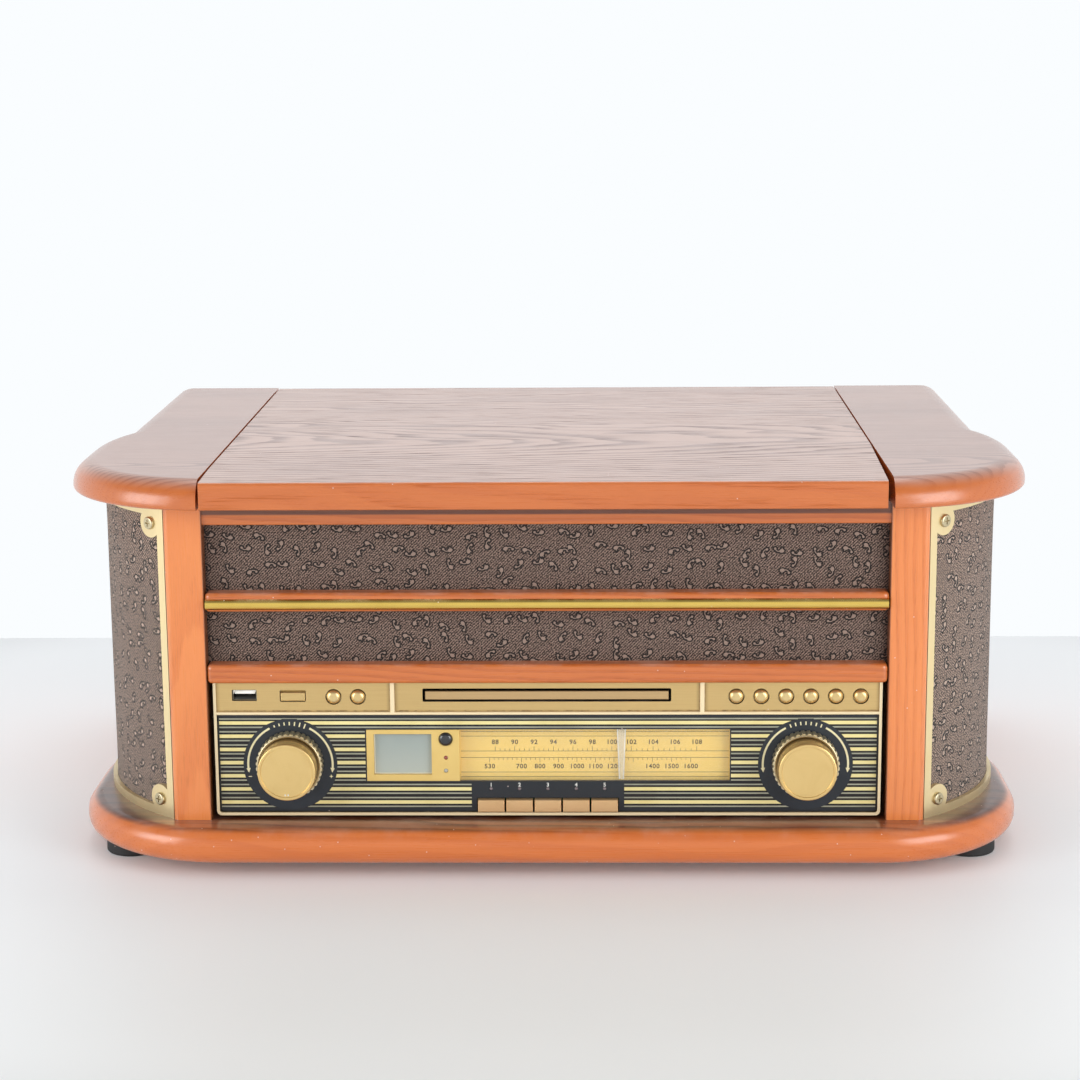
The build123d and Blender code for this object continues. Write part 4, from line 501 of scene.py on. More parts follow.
finishes = Look(
    satinGold=Look(
        nodes=("power_key",), colour=(222, 192, 132), worn=(206, 172, 114), metal=0.85, roughness=0.3,
        along=(40, 2400, 2400), drawn=0.5, dust=0.25, specks=0.012,
    ),
    roseGold=Look(
        nodes=[f"mode_key_{number}" for number in range(1, 6)], colour=(238, 198, 146),
        worn=(218, 176, 124), metal=0.6, roughness=0.32, dust=0.2,
    ),
    paleBrass=Look(
        nodes=("grille_frames",), colour=(246, 226, 178), worn=(226, 200, 148), metal=0.85,
        roughness=0.28, along=(2000, 2000, 40), drawn=0.3, dust=0.3,
    ),
    inlayBrass=Look(
        nodes=("brass_inlay",), colour=(240, 206, 110), worn=(214, 176, 82), metal=1.0, roughness=0.12,
        along=(30, 2600, 2600), drawn=0.5, dust=0.5, specks=0.02,
    ),
    hingeBrass=Look(
        nodes=("hinge_fixed_leaves", "hinge_lid_leaves"), colour=(214, 180, 104), worn=(160, 124, 62),
        metal=1.0, roughness=0.24,
    ),
    screwBrass=Look(
        nodes=("cabinet_screws",), colour=(222, 208, 172), worn=(158, 142, 108), metal=1.0,
        roughness=0.26,
    ),
    brightSteel=Look(
        nodes=("motor_pulley",), colour=(206, 204, 198), worn=(150, 148, 142), metal=1.0,
        roughness=0.22,
    ),
    darkSteel=Look(
        nodes=("power_transformer", "drive_motor"), colour=(120, 116, 108), worn=(84, 78, 70),
        metal=1.0, roughness=0.38,
    ),
    armMetal=Look(
        nodes=("tonearm",), colour=(214, 214, 212), worn=(170, 170, 168), metal=1.0, roughness=0.2,
        along=(2400, 60, 2400), drawn=0.4,
    ),
    blackPlastic=Look(
        nodes=(
            "cd_mechanism", "turntable_deck", "tonearm_base", "tonearm_yoke", "rear_sockets",
            "speed_switch",
        ),
        colour=(24, 24, 26), worn=(42, 42, 44), roughness=0.38, grain=1.0, bump=0.35, dust=0.05,
        specks=0.008,
    ),
    fasciaBlack=Look(
        nodes=("dial_fascia",), colour=(30, 34, 40), worn=(40, 44, 50), roughness=0.34, dust=0.1,
        specks=0.02,
    ),
    rubber=Look(
        nodes=("rubber_feet", "drive_belt"), colour=(30, 32, 34), worn=(52, 52, 52), roughness=0.62,
        grain=1.0, bump=0.5, dust=0.1,
    ),
    paperCone=Look(
        nodes=("speakers",), colour=(34, 33, 32), worn=(58, 55, 52), roughness=0.8, grain=1.2, bump=0.6,
        depth=0.0002,
    ),
    boardGreen=Look(
        nodes=("circuit_boards",), colour=(28, 92, 52), worn=(52, 120, 66), roughness=0.34,
        along=(700, 60, 700),
    ),
)
for finish, look in finishes.items():
    made = makeFinish(finish, look)
    for wearer in look.nodes:
        dress(wearer, made)
print("stage: metals and plastics dressed")


# the front panel: satin gold, with a painted highlight on its ridges, painted shade and dirt beside
# them, painted shade under the rail and down its holes
def makePanel(look):
    material, place, facing = newMaterial("panel_gold")
    skin = skinAt(place, look.along)
    x, y, z = separate(place)
    colour = mix(skin["Line"], look.gold, look.goldWorn)
    # painted highlight: what stands proud, the ridges, the ledge and the rims, is lighter
    raised = fade(y, *look.raised)
    colour = mix(raised, colour, look.ridge)
    # how far a spot lies from the nearest ridge, along the panel and above its ledge
    away = 1.0
    for ridge in look.ridges:
        away = lowest(away, absolute(minus(x, ridge)))
    away = minus(away, look.ridgeHalf)
    above = minus(z, look.ledgeTop)
    under = minus(look.railFoot, z)
    patches = fade(noise(place, 260.0, 4.0, 0.65), 0.35, 0.7)
    # painted shade beside the ridges and under the lower rail; the thin lines in the creases beside the
    # ridges and above the ledge are dirt and painted shade, in patches
    shadow = times(fade(away, look.ridgeShadow, 0.0), 0.4)
    shadow = highest(shadow, times(fade(under, look.railShadow, 0.0), 0.35))
    dirt = highest(fade(away, *look.ridgeDirt), fade(above, *look.ledgeDirt))
    dirt = times(dirt, timesPlus(patches, 0.6, 0.25))
    row = isOver(z, look.ledgeTop)
    flat = times(row, minus(1.0, raised))
    mark = times(highest(shadow, dirt), flat)
    colour = mix(mark, colour, look.dirt)
    # painted shade down the holes, behind the panel's face
    deep = fade(y, *look.deep)
    colour = mix(deep, colour, look.dark)
    dust = dustAt(place, facing, look.film, look.specks)
    # dull parts lose their metal: the marks, the holes and the dust, and the proud ridges, so that
    # their painted highlight shows
    dull = highest(highest(mark, deep), dust)
    dull = highest(dull, times(raised, 0.7))
    rough = timesPlus(skin["Smear"], 0.12, look.roughness)
    sockets = {
        "Base Color": mix(times(dust, 0.6), colour, lacquer.dust),
        "Metallic": timesPlus(dull, -look.metal, look.metal),
        "Roughness": timesPlus(dust, 0.3, rough),
    }
    height = timesPlus(skin["Line"], 0.5, times(skin["Grain"], 0.4))
    return closeMaterial(material, sockets, height, 0.2, 0.04 * mm)


panelLook = Look(
    gold=(224, 194, 134), goldWorn=(208, 174, 116), ridge=(248, 228, 186), dirt=(96, 70, 38),
    dark=(34, 24, 14), metal=0.85, roughness=0.3, along=(40, 2400, 2400),
    railFoot=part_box("lower_rail")[0].z, film=0.25, specks=0.015,
    **metres(
        raised=(-148.1, -148.6), deep=(-147.68, -147.3), ridgeShadow=2.6, railShadow=1.8,
        ridgeDirt=(0.7, 0.2), ledgeDirt=(1.1, 0.4), ridges=(-180.0, -83.2, 83.6, 180.0), ridgeHalf=1.2,
        ledgeTop=87.3,
    ),
)
dress("front_bezel", makePanel(panelLook))


# turned parts: knobs, buttons, platter and its mat
def makeTurned(name, look):
    material, place, _ = newMaterial(name)
    sockets = {title: look[title.lower()] for title in ("Centre", "Keep", "Pitch")}
    lines = runGroup(turnedLines, {"Place": place, **sockets})
    smear = times(skinAt(place)["Smear"], 0.4)
    colour = mix(timesPlus(lines["Line"], 0.5, smear), look.colour, look.worn)
    if "band" in look:
        inner, outer = look.band
        within = times(isOver(lines["Radius"], inner), isUnder(lines["Radius"], outer))
        colour = mix(times(within, 0.75), colour, look.dark)
        colour = mix(isOver(lines["Radius"], outer), colour, look.rim)
    sockets = {
        "Base Color": colour,
        "Roughness": timesPlus(lines["Line"], 0.14, look.roughness),
        "Metallic": look.metal,
    }
    return closeMaterial(material, sockets, lines["Line"], look.bump, look.get("depth", 0.05 * mm))


def centreOf(node):
    low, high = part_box(node)
    return tuple((low + high) / 2)


goldTurned = Look(
    colour=(240, 208, 142), worn=(222, 186, 118), metal=0.85, roughness=0.24, pitch=0.0004,
    keep=(1, 0, 1), bump=0.15,
)
knobLook = Look(goldTurned, rim=(226, 212, 176), dark=(134, 112, 80), **metres(band=(15.75, 17.0)))
for knob in ("volume_knob", "tuning_knob"):
    dress(knob, makeTurned(knob + "_gold", Look(knobLook, centre=centreOf(knob))))
buttonLook = Look(goldTurned, colour=(232, 208, 154))
for number in range(1, 9):
    button = f"round_button_{number}"
    dress(button, makeTurned(button + "_gold", Look(buttonLook, centre=centreOf(button))))
spun = Look(
    colour=(206, 206, 206), worn=(160, 160, 160), metal=1.0, roughness=0.22, pitch=0.0009,
    keep=(1, 1, 0), centre=centreOf("platter"), bump=0.2,
)
dress("platter", makeTurned("platter_metal", spun))
matLook = Look(
    spun, colour=(34, 34, 36), worn=(54, 54, 56), metal=0.0, roughness=0.6, pitch=0.0022, bump=0.9,
    depth=0.0006,
)
dress("platter_mat", makeTurned("platter_mat_rubber", matLook))


# the tray's front shows in the panel's gold, its bed is black
def makeTray(look):
    material, place, _ = newMaterial("tray_finish")
    skin = skinAt(place, (40, 2400, 2400))
    front = isUnder(separate(place)[1], look.frontBack)
    gold = mix(skin["Line"], look.gold, look.goldWorn)
    black = mix(skin["Smear"], look.black, look.blackWorn)
    sockets = {
        "Base Color": mix(front, black, gold),
        "Metallic": times(front, look.metal),
        "Roughness": timesPlus(skin["Smear"], 0.1, 0.34),
    }
    return closeMaterial(material, sockets, skin["Grain"], 0.2, 0.04 * mm)


trayLook = Look(
    gold=(212, 180, 132), goldWorn=(196, 162, 114), black=(26, 26, 28), metal=0.8,
    blackWorn=(44, 44, 46), frontBack=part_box("cd_tray")[0].y + 2 * mm,
)
dress("cd_tray", makeTray(trayLook))


# the socket's steel shell, its white tongue, which glows as painted light, and painted shade behind it
def makeUsb(look):
    material, place, _ = newMaterial("usb_finish")
    skin = skinAt(place)
    x, y, z = separate(place)
    low, high = look.box
    steel = mix(skin["Smear"], look.steel, look.steelWorn)
    white = mix(skin["Smear"], look.tongue, look.tongueWorn)
    # painted shade: behind the rim the shell is dark and not metallic
    deep = isOver(y, low.y + look.rim)
    upper = isOver(z, high.z - look.tongueFoot)
    under = isUnder(z, high.z - look.tongueHead)
    tongue = times(deep, times(upper, under))
    # the tongue's glow is painted light
    sockets = {
        "Base Color": mix(tongue, mix(deep, steel, look.dark), white),
        "Emission Color": white,
        "Emission Strength": times(tongue, look.tongueGlow),
        "Metallic": minus(1.0, deep),
        "Roughness": timesPlus(skin["Smear"], 0.12, 0.28),
    }
    return closeMaterial(material, sockets, skin["Grain"], 0.15, 0.03 * mm)


usbLook = Look(
    box=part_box("usb_socket"), tongueGlow=0.35, steel=(150, 140, 120), steelWorn=(112, 102, 86),
    tongue=(250, 248, 242), tongueWorn=(218, 214, 204), dark=(24, 20, 16),
    **metres(rim=0.35, tongueHead=0.5, tongueFoot=2.9),
)
dress("usb_socket", makeUsb(usbLook))


# prints, plates and panes: one colour with faint smears
def makePlain(name, look):
    material, place, _ = newMaterial(name)
    skin = skinAt(place)
    smear = times(skin["Smear"], look.get("smear", 1.0))
    sockets = {
        "Base Color": mix(smear, look.colour, look.worn),
        "Roughness": timesPlus(skin["Grain"], look.get("uneven", 0.2), look.roughness),
        "Metallic": look.get("metal", 0.0),
    }
    # a glow is painted light: the part shines though no lamp lights it
    if "glow" in look:
        sockets["Emission Color"], sockets["Emission Strength"] = sockets["Base Color"], look.glow
    if "alpha" in look:
        sockets["Alpha"] = timesPlus(skin["Smear"], look.smearAlpha, look.alpha)
    return closeMaterial(material, sockets, skin[look.get("relief", "Grain")], *look.bump)


plate = Look(smear=0.6, uneven=0.15, roughness=0.32, bump=(0.12, 0.03 * mm))
pane = Look(uneven=0.1, roughness=0.05, relief="Smear", bump=(0.1, 0.02 * mm))
# the scale plate's faint glow is painted light
dialLooks = Look(
    scale_plate=Look(plate, colour=(240, 205, 112), worn=(233, 197, 102), glow=0.04),
    display_plate=Look(plate, colour=(236, 204, 126), worn=(226, 190, 110), metal=0.35),
    scale_window=Look(pane, colour=(255, 250, 236), worn=(250, 242, 220), alpha=0.04, smearAlpha=0.04),
    dial_needle=Look(pane, colour=(255, 252, 236), worn=(250, 240, 206), alpha=0.3, smearAlpha=0.12),
)
for part, look in dialLooks.items():
    dress(part, makePlain(part + "_finish", look))


# the display's grey glass, darker towards its top, with a painted highlight along its left and lower
# edges
def makeScreen(look):
    material, place, _ = newMaterial("screen_grey")
    low, high = look.box
    x, y, z = separate(place)
    colour = mix(fade(z, low.z, high.z), look.foot, look.head)
    cloud = noise(place, 90.0, 3.0)
    colour = mix(times(cloud, 0.2), colour, look.tint)
    # painted highlight: a pale strip along the glass's left and lower edges
    beside = isUnder(x, look.glassLeft + look.rimWidth)
    beneath = isUnder(z, look.glassFoot + look.rimWidth)
    sockets = {
        "Base Color": mix(highest(beside, beneath), colour, look.rim),
        "Roughness": fade(cloud, 0.3, 0.7, 0.12, 0.2),
        "Coat Weight": 0.6,
        "Coat Roughness": 0.05,
    }
    cell = noise(stretch(place, 2500, 2500, 2500), 1.0, 1.0)
    return closeMaterial(material, sockets, cell, 0.05, 0.02 * mm)


screenLook = Look(
    box=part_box("lcd_module"), foot=(176, 183, 173), head=(150, 162, 158), tint=(186, 190, 178),
    rim=(226, 224, 206), **metres(glassLeft=-93.9, glassFoot=51.5, rimWidth=0.6),
)
dress("lcd_module", makeScreen(screenLook))


print("stage: dial dressed")


# lamps and the sensor's dome in one node, told apart by place
def makeLamps(look):
    material, place, _ = newMaterial("lamp_lenses")
    skin = skinAt(place)
    z = separate(place)[2]
    black = mix(skin["Smear"], look.dome, look.domeWorn)
    low = isUnder(z, look.domeFoot)
    colour = mix(low, black, look.grey)
    band = times(low, isOver(z, look.redFoot))
    colour = mix(band, colour, look.red)
    sockets = {
        "Base Color": mix(isUnder(z, look.keyHead), colour, look.keyLamp),
        "Roughness": timesPlus(skin["Grain"], 0.08, 0.06),
        "Coat Weight": 0.8,
        "Coat Roughness": 0.04,
    }
    return closeMaterial(material, sockets, skin["Grain"], 0.05, 0.02 * mm)


lampLook = Look(
    dome=(26, 28, 32), domeWorn=(40, 42, 48), grey=(176, 174, 160), red=(150, 74, 58),
    keyLamp=(130, 116, 118), **metres(domeFoot=66.5, redFoot=57.5, keyHead=47.0),
)
dress("indicator_lamps", makeLamps(lampLook))


# cloth
clothLook = Look(
    ground=(18, 12, 11), thread=(157, 131, 117), sprig=(152, 130, 117), edge=(10, 7, 6), relief=0.7,
    spacing=9.8,
)


def makeCloth(name, look):
    material, _, _ = newMaterial(name)
    chart = addNode("UVMap", {}, material.node_tree, uv_map="clothMap")
    titles = ("Ground", "Thread", "Sprig", "Edge", "Spacing")
    sockets = {title: look[title.lower()] for title in titles}
    weave = runGroup(sprigTwill, {"Place": chart["UV"], **sockets})
    sockets = {
        "Base Color": weave["Colour"],
        "Roughness": fade(weave["Height"], 0.0, 1.2, 0.95, 0.7),
        "Sheen Weight": 0.2,
        "Sheen Roughness": 0.5,
    }
    return closeMaterial(material, sockets, weave["Height"], look.relief, 0.3 * mm)


speakerTwill = makeCloth("speaker_twill", clothLook)
# the sides' cloth is a lighter copy, painted light, and stands in more relief
sideLook = Look(clothLook, thread=(208, 178, 158), sprig=(206, 180, 162), relief=1.4)
litSideTwill = makeCloth("lit_side_twill", sideLook)


def makeMesh(name, points, faces, smooth=False):
    mesh = bpy.data.meshes.new(name)
    mesh.from_pydata([tuple(point) for point in points], [], faces)
    mesh.validate()
    for face in mesh.polygons:
        face.use_smooth = smooth
    return mesh


def placePiece(name, mesh, material, body="cabinet", slot=None):
    piece = addObject(name, mesh)
    mesh.materials.append(material)
    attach(piece, body)
    return piece


def makeSheet(name, columns, rows, spotAt, chartAt):
    # a grid of points from spotAt(u, v), with its cloth map from chartAt(u, v)
    wide = columns + 1
    points = [spotAt(column / columns, row / rows) for row in range(rows + 1) for column in range(wide)]
    faces = [
        [row * wide + column + step for step in (0, 1, wide + 1, wide)]
        for row in range(rows)
        for column in range(columns)
    ]
    mesh = makeMesh(name, points, faces, smooth=True)
    chart = mesh.uv_layers.new(name="clothMap")
    for loop in mesh.loops:
        row, column = divmod(loop.vertex_index, wide)
        chart.data[loop.index].uv = chartAt(column / columns, row / rows)
    return mesh


def thicken(piece, thickness, offset):
    thick = piece.modifiers.new("thickness", "SOLIDIFY")
    thick.thickness = thickness
    thick.offset = offset


def slack(u, v, seed):
    # how uneven the stretched cloth lies, from 0 to 1, nothing at its edges
    rim = min(u, 1 - u, v, 1 - v) * 8
    wave = math.sin(u * 9.1 + seed) * math.sin(v * 4.3 + seed * 2) + math.sin(u * 23 + v * 5 + seed)
    return min(1, rim) * (0.5 + 0.25 * wave)


def makeFrontCloth(look):
    low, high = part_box("cloth_panel")
    wide, tall = high.x - low.x, high.z - low.z

    def spotAt(u, v):
        inward = look.inset + slack(u, v, 1) * look.slack
        return (low.x + u * wide, low.y + inward, low.z + v * tall)

    mesh = makeSheet("front_cloth", *look.grid, spotAt, lambda u, v: (u * wide, v * tall))
    cloth = placePiece("front_cloth", mesh, speakerTwill, slot="speaker_cloth")
    thicken(cloth, look.thickness, -1)
    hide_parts("cloth_panel")
    # the board that the cloth is stretched over
    depths = (low.y + look.backing, high.y)
    corners = [(x, y, z) for x in (low.x, high.x) for y in depths for z in (low.z, high.z)]
    faces = [(0, 1, 5, 4), (2, 6, 7, 3), (0, 2, 3, 1), (4, 5, 7, 6), (1, 3, 7, 5), (0, 4, 6, 2)]
    backing = placePiece("cloth_backing", makeMesh("cloth_backing", corners, faces), blackBoard)
    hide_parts("cloth_panel")


frontCloth = Look(grid=(120, 40), **metres(inset=0.05, slack=0.25, thickness=0.5, backing=1.0))
makeFrontCloth(frontCloth)

# the curve that the bays' cloth follows, for the right side; the left is its mirror image
bay = Look(
    grid=(96, 60), chartStart=0.4,
    **metres(centre=(136.5, -54.4), radius=113.95, slack=0.6, thickness=0.6, postGap=0.3),
)


def makeSideCloth(name, side):
    low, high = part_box("grille_cloths")
    centre, radius = bay.centre, bay.radius
    start = -math.acos((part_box("front_posts")[1].x + bay.postGap - centre[0]) / radius)
    end = math.asin((high.y - centre[1]) / radius)
    tall = high.z - low.z

    def spotAt(u, v):
        angle = start + u * (end - start)
        near = radius - slack(u, v, side + 3) * bay.slack
        return (
            side * (centre[0] + near * math.cos(angle)),
            centre[1] + near * math.sin(angle),
            low.z + v * tall,
        )

    length = radius * (end - start)

    def chartAt(u, v):
        return (side * (bay.chartStart + u * length), v * tall)

    mesh = makeSheet(name, *bay.grid, spotAt, chartAt)
    cloth = placePiece(name, mesh, litSideTwill, slot="speaker_cloth")
    thicken(cloth, bay.thickness, -side)
    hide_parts("grille_cloths")


makeSideCloth("grille_cloth_right", 1)
makeSideCloth("grille_cloth_left", -1)
print("stage: cloth made")


# printed marks, and the needle's painted edge highlights, all as thin raised shapes on a face that
# looks forward
mark = Look(roughness=0.4, bump=(0.1, 0.02 * mm))
inks = Look(
    barGold=Look(colour=(250, 236, 170), worn=(238, 220, 150), roughness=0.3, metal=0.35),
    barGrey=Look(colour=(176, 176, 156), worn=(150, 150, 132), roughness=0.3, metal=0.35),
    barBlack=Look(colour=(12, 10, 10), worn=(22, 20, 20), roughness=0.45),
    discBlack=Look(colour=(32, 38, 46), worn=(42, 48, 56)),
    cream=Look(colour=(240, 232, 190), worn=(226, 216, 170), metal=0.1),
    dialBrown=Look(colour=(78, 60, 30), worn=(94, 74, 40), roughness=0.6),
    whiteInk=Look(colour=(226, 226, 220), worn=(200, 200, 194), roughness=0.5),
)
ink = {name: makePlain(name, Look(mark, **look)) for name, look in inks.items()}
# how far each kind of print stands proud of its face
proud = metres(black=0.015, disc=0.02, dial=0.02, numbers=0.03, bars=0.04, marks=0.05)


def meshFrom(name, shapes):
    mesh = bpy.data.meshes.new(name)
    shapes.to_mesh(mesh)
    shapes.free()
    return mesh


def raisePiece(name, outlines, face, height, finish, **ride):
    # each outline is a list of (x, z) points; it stands height proud of the plane y = face
    shapes = bmesh.new()
    for outline in outlines:
        flat = shapes.faces.new([shapes.verts.new((x, face, z)) for x, z in outline])
        pushed = bmesh.ops.extrude_face_region(shapes, geom=[flat])["geom"]
        for point in pushed:
            if isinstance(point, bmesh.types.BMVert):
                point.co.y -= height
    bmesh.ops.recalc_face_normals(shapes, faces=shapes.faces)
    return placePiece(name, meshFrom(name, shapes), ink[finish], **ride)


def bar(x0, x1, z0, z1):
    return [(x0, z0), (x1, z0), (x1, z1), (x0, z1)]


def polar(x, z, radius, angle):
    turn = math.radians(angle)
    return (x + radius * math.cos(turn), z + radius * math.sin(turn))


def disc(x, z, radius, steps=72):
    return [polar(x, z, radius, step * 360 / steps) for step in range(steps)]


def arcBand(x, z, radius, width, start, end, steps=40):
    # quads along an arc, so that the band can be bent
    pieces = []
    for step in range(steps):
        a, b = (start + (end - start) * (step + k) / steps for k in (0, 1))
        spots = ((-width, a), (width, a), (width, b), (-width, b))
        pieces.append([polar(x, z, radius + off / 2, angle) for off, angle in spots])
    return pieces


def arrowTip(x, z, radius, angle, toward, size):
    # a small triangle on an arc, pointing along it
    out = Vector(polar(0, 0, 1, angle))
    along = Vector((-out[1], out[0])) * toward
    centre = Vector((x, z)) + out * radius
    return [centre + out * size, centre - out * size, centre + along * size * 2.2]


def tick(x, z, inner, outer, angle, width):
    out = Vector(polar(0, 0, 1, angle))
    side = Vector((-out[1], out[0])) * width / 2
    near, far = Vector((x, z)) + out * inner, Vector((x, z)) + out * outer
    return [near - side, far - side, far + side, near + side]


fascia = Look(
    face=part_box("dial_fascia")[0].y, bars=7,
    **metres(
        left=-177.6, right=177.6, firstBar=80.6, pitch=7.45, thick=1.95, thin=0.8,
        thinDrops=(2.45, 4.95), topThin=2.25, blackHead=3.1, blackFoot=3.2, knobDisc=25.6, knobX=139.5,
        knobZ=57.2, keyBlock=(-41.2, 41.7, 47.0), margin=0.7,
    ),
)
displayLow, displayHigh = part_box("display_plate")
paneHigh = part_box("scale_window")[1]


def openSpans(z):
    # the stretches of a stripe at this height that nothing interrupts
    blocks = []
    for x in (-fascia.knobX, fascia.knobX):
        rise = abs(z - fascia.knobZ)
        if rise < fascia.knobDisc:
            half = math.sqrt(fascia.knobDisc ** 2 - rise**2)
            blocks.append((x - half, x + half))
    margin = fascia.margin
    if displayLow.z - margin < z < displayHigh.z + margin:
        blocks.append((displayLow.x - margin, paneHigh.x + margin))
    if z < fascia.keyBlock[2]:
        blocks.append(fascia.keyBlock[:2])
    spans, start = [], fascia.left
    for low, high in sorted(blocks):
        if low > start:
            spans.append((start, low))
        start = max(start, high)
    spans.append((start, fascia.right))
    return spans


def stripe(z, width, slices):
    pieces = []
    for i in range(slices):
        z0 = z - width / 2 + i * width / slices
        z1 = z0 + width / slices
        below, above = openSpans(z0), openSpans(z1)
        if len(below) != len(above):
            below = above = min(below, above, key=lambda spans: sum(b - a for a, b in spans))
        for (a, b), (c, d) in zip(below, above):
            pieces.append([(a, z0), (b, z0), (d, z1), (c, z1)])
    return pieces


def makeStripes():
    first, pitch, bars = fascia.firstBar, fascia.pitch, fascia.bars
    thick, thin = [], []
    for row in range(bars):
        z = first - row * pitch
        thick += stripe(z, fascia.thick, 4)
        # two thin lines under each thick bar, one under the last
        for drop in fascia.thinDrops[: 2 if row < bars - 1 else 1]:
            thin += stripe(z - drop, fascia.thin, 2)
    thin += stripe(first + fascia.topThin, fascia.thin, 2)
    # black between the stripes
    head = first + fascia.blackHead
    foot = first - (bars - 1) * pitch - fascia.blackFoot
    black = stripe((head + foot) / 2, head - foot, 90)
    raisePiece("fascia_black", black, fascia.face, proud.black, "barBlack")
    raisePiece("fascia_bars", thick, fascia.face, proud.bars, "barGold")
    raisePiece("fascia_lines", thin, fascia.face, proud.bars, "barGrey")


makeStripes()

# the arcs round the knobs, with ticks over their tops and, round one, a minus and a plus
dialArc = Look(
    top=62, foot=-5, ticks=7, firstTick=69, tickStep=7, signFoot=-17,
    **metres(
        radius=23.0, width=1.1, tip=1.2, tickWidth=0.7, signOut=0.1, signHalf=0.9, signLine=0.22,
        discInset=0.2, evenTick=1.9, growingTick=(1.2, 0.26),
    ),
)


def makeKnobPrint(name, x, signed):
    z, face = fascia.knobZ, fascia.face
    radius, width, top, foot = (dialArc[part] for part in ("radius", "width", "top", "foot"))
    discs = [disc(x, z, fascia.knobDisc - dialArc.discInset)]
    raisePiece(name + "_disc", discs, face, proud.disc, "discBlack")
    marks = arcBand(x, z, radius, width, foot, top)
    marks += arcBand(x, z, radius, width, 180 - top, 180 - foot)
    marks.append(arrowTip(x, z, radius, foot, -1, dialArc.tip))
    marks.append(arrowTip(x, z, radius, 180 - foot, 1, dialArc.tip))
    shortest, growth = dialArc.growingTick
    for step in range(dialArc.ticks):
        angle = 180 - dialArc.firstTick - step * dialArc.tickStep
        tall = shortest + growth * step if signed else dialArc.evenTick
        inner = radius - tall / 2
        marks.append(tick(x, z, inner, inner + tall, angle, dialArc.tickWidth))
    if signed:
        half, line = dialArc.signHalf, dialArc.signLine
        for sign, angle in (("-", 180 - dialArc.signFoot), ("+", dialArc.signFoot)):
            cx, cz = polar(x, z, radius + dialArc.signOut, angle)
            marks.append(bar(cx - half, cx + half, cz - line, cz + line))
            if sign == "+":
                marks.append(bar(cx - line, cx + line, cz + line, cz + half))
                marks.append(bar(cx - line, cx + line, cz - half, cz - line))
    raisePiece(name + "_marks", marks, face, proud.marks, "cream")


makeKnobPrint("volume_print", -fascia.knobX, True)
makeKnobPrint("tuning_print", fascia.knobX, False)

# two small marks on the volume knob's cap, measured from its middle
capMarks = metres(down=12.6, places=(-1.0, 0.6), half=(0.3, 0.5), inset=0.4)


def makeCapMarks():
    low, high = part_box("volume_knob")
    x, z = (low.x + high.x) / 2, (low.z + high.z) / 2 - capMarks.down
    wide, tall = capMarks.half
    marks = [bar(x + place - wide, x + place + wide, z - tall, z + tall) for place in capMarks.places]
    face = low.y + capMarks.inset
    raisePiece("volume_marks", marks, face, proud.marks, "whiteInk", body="volume_knob")


makeCapMarks()


# numbers; each value is a share of their height
lettering = Look(size=1.4, weight=0.035, spacing=1.15)


def addNumber(shapes, words, x, z, height, face, rise):
    letters = bpy.data.curves.new("number", "FONT")
    letters.body = words
    letters.align_x = "CENTER"
    letters.align_y = "CENTER"
    letters.size = height * lettering.size
    letters.space_character = lettering.spacing
    letters.extrude = rise / 2
    letters.offset = height * lettering.weight
    holder = bpy.data.objects.new("number", letters)
    mesh = bpy.data.meshes.new_from_object(holder)
    mesh.transform(Matrix.Translation((x, face - rise / 2, z)) @ Matrix.Rotation(math.pi / 2, 4, "X"))
    shapes.from_mesh(mesh)
    bpy.data.objects.remove(holder)
    bpy.data.curves.remove(letters)
    bpy.data.meshes.remove(mesh)


def makeNumbers(name, labels, height, face, rise, finish):
    shapes = bmesh.new()
    for words, x, z in labels:
        addNumber(shapes, words, x, z, height, face, rise)
    return placePiece(name, meshFrom(name, shapes), ink[finish])


dial = Look(
    face=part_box("scale_plate")[0].y + 2.8 * mm, lines=(74.3, 71.7, 63.3, 59.6, 51.4, 48.8),
    upperMarks=(-28.3, 10.55, 7, 45.6, 11.8), lowerMarks=(-14.1, 10.05, 5, 36.2, 10.4),
    **metres(
        left=-47.0, right=98.4, lineWidth=0.24, longMark=2.6, shortMark=1.4, lowerStart=-31.4,
        upperRow=68.3, lowerRow=54.6, numberHeight=2.5,
    ),
)


def dialPlace(row, step):
    # the marks stand a little further apart from one of them on
    start, pitch, turn, second, wider = dial[row]
    return (start + pitch * step if step <= turn else second + wider * (step - turn)) * mm


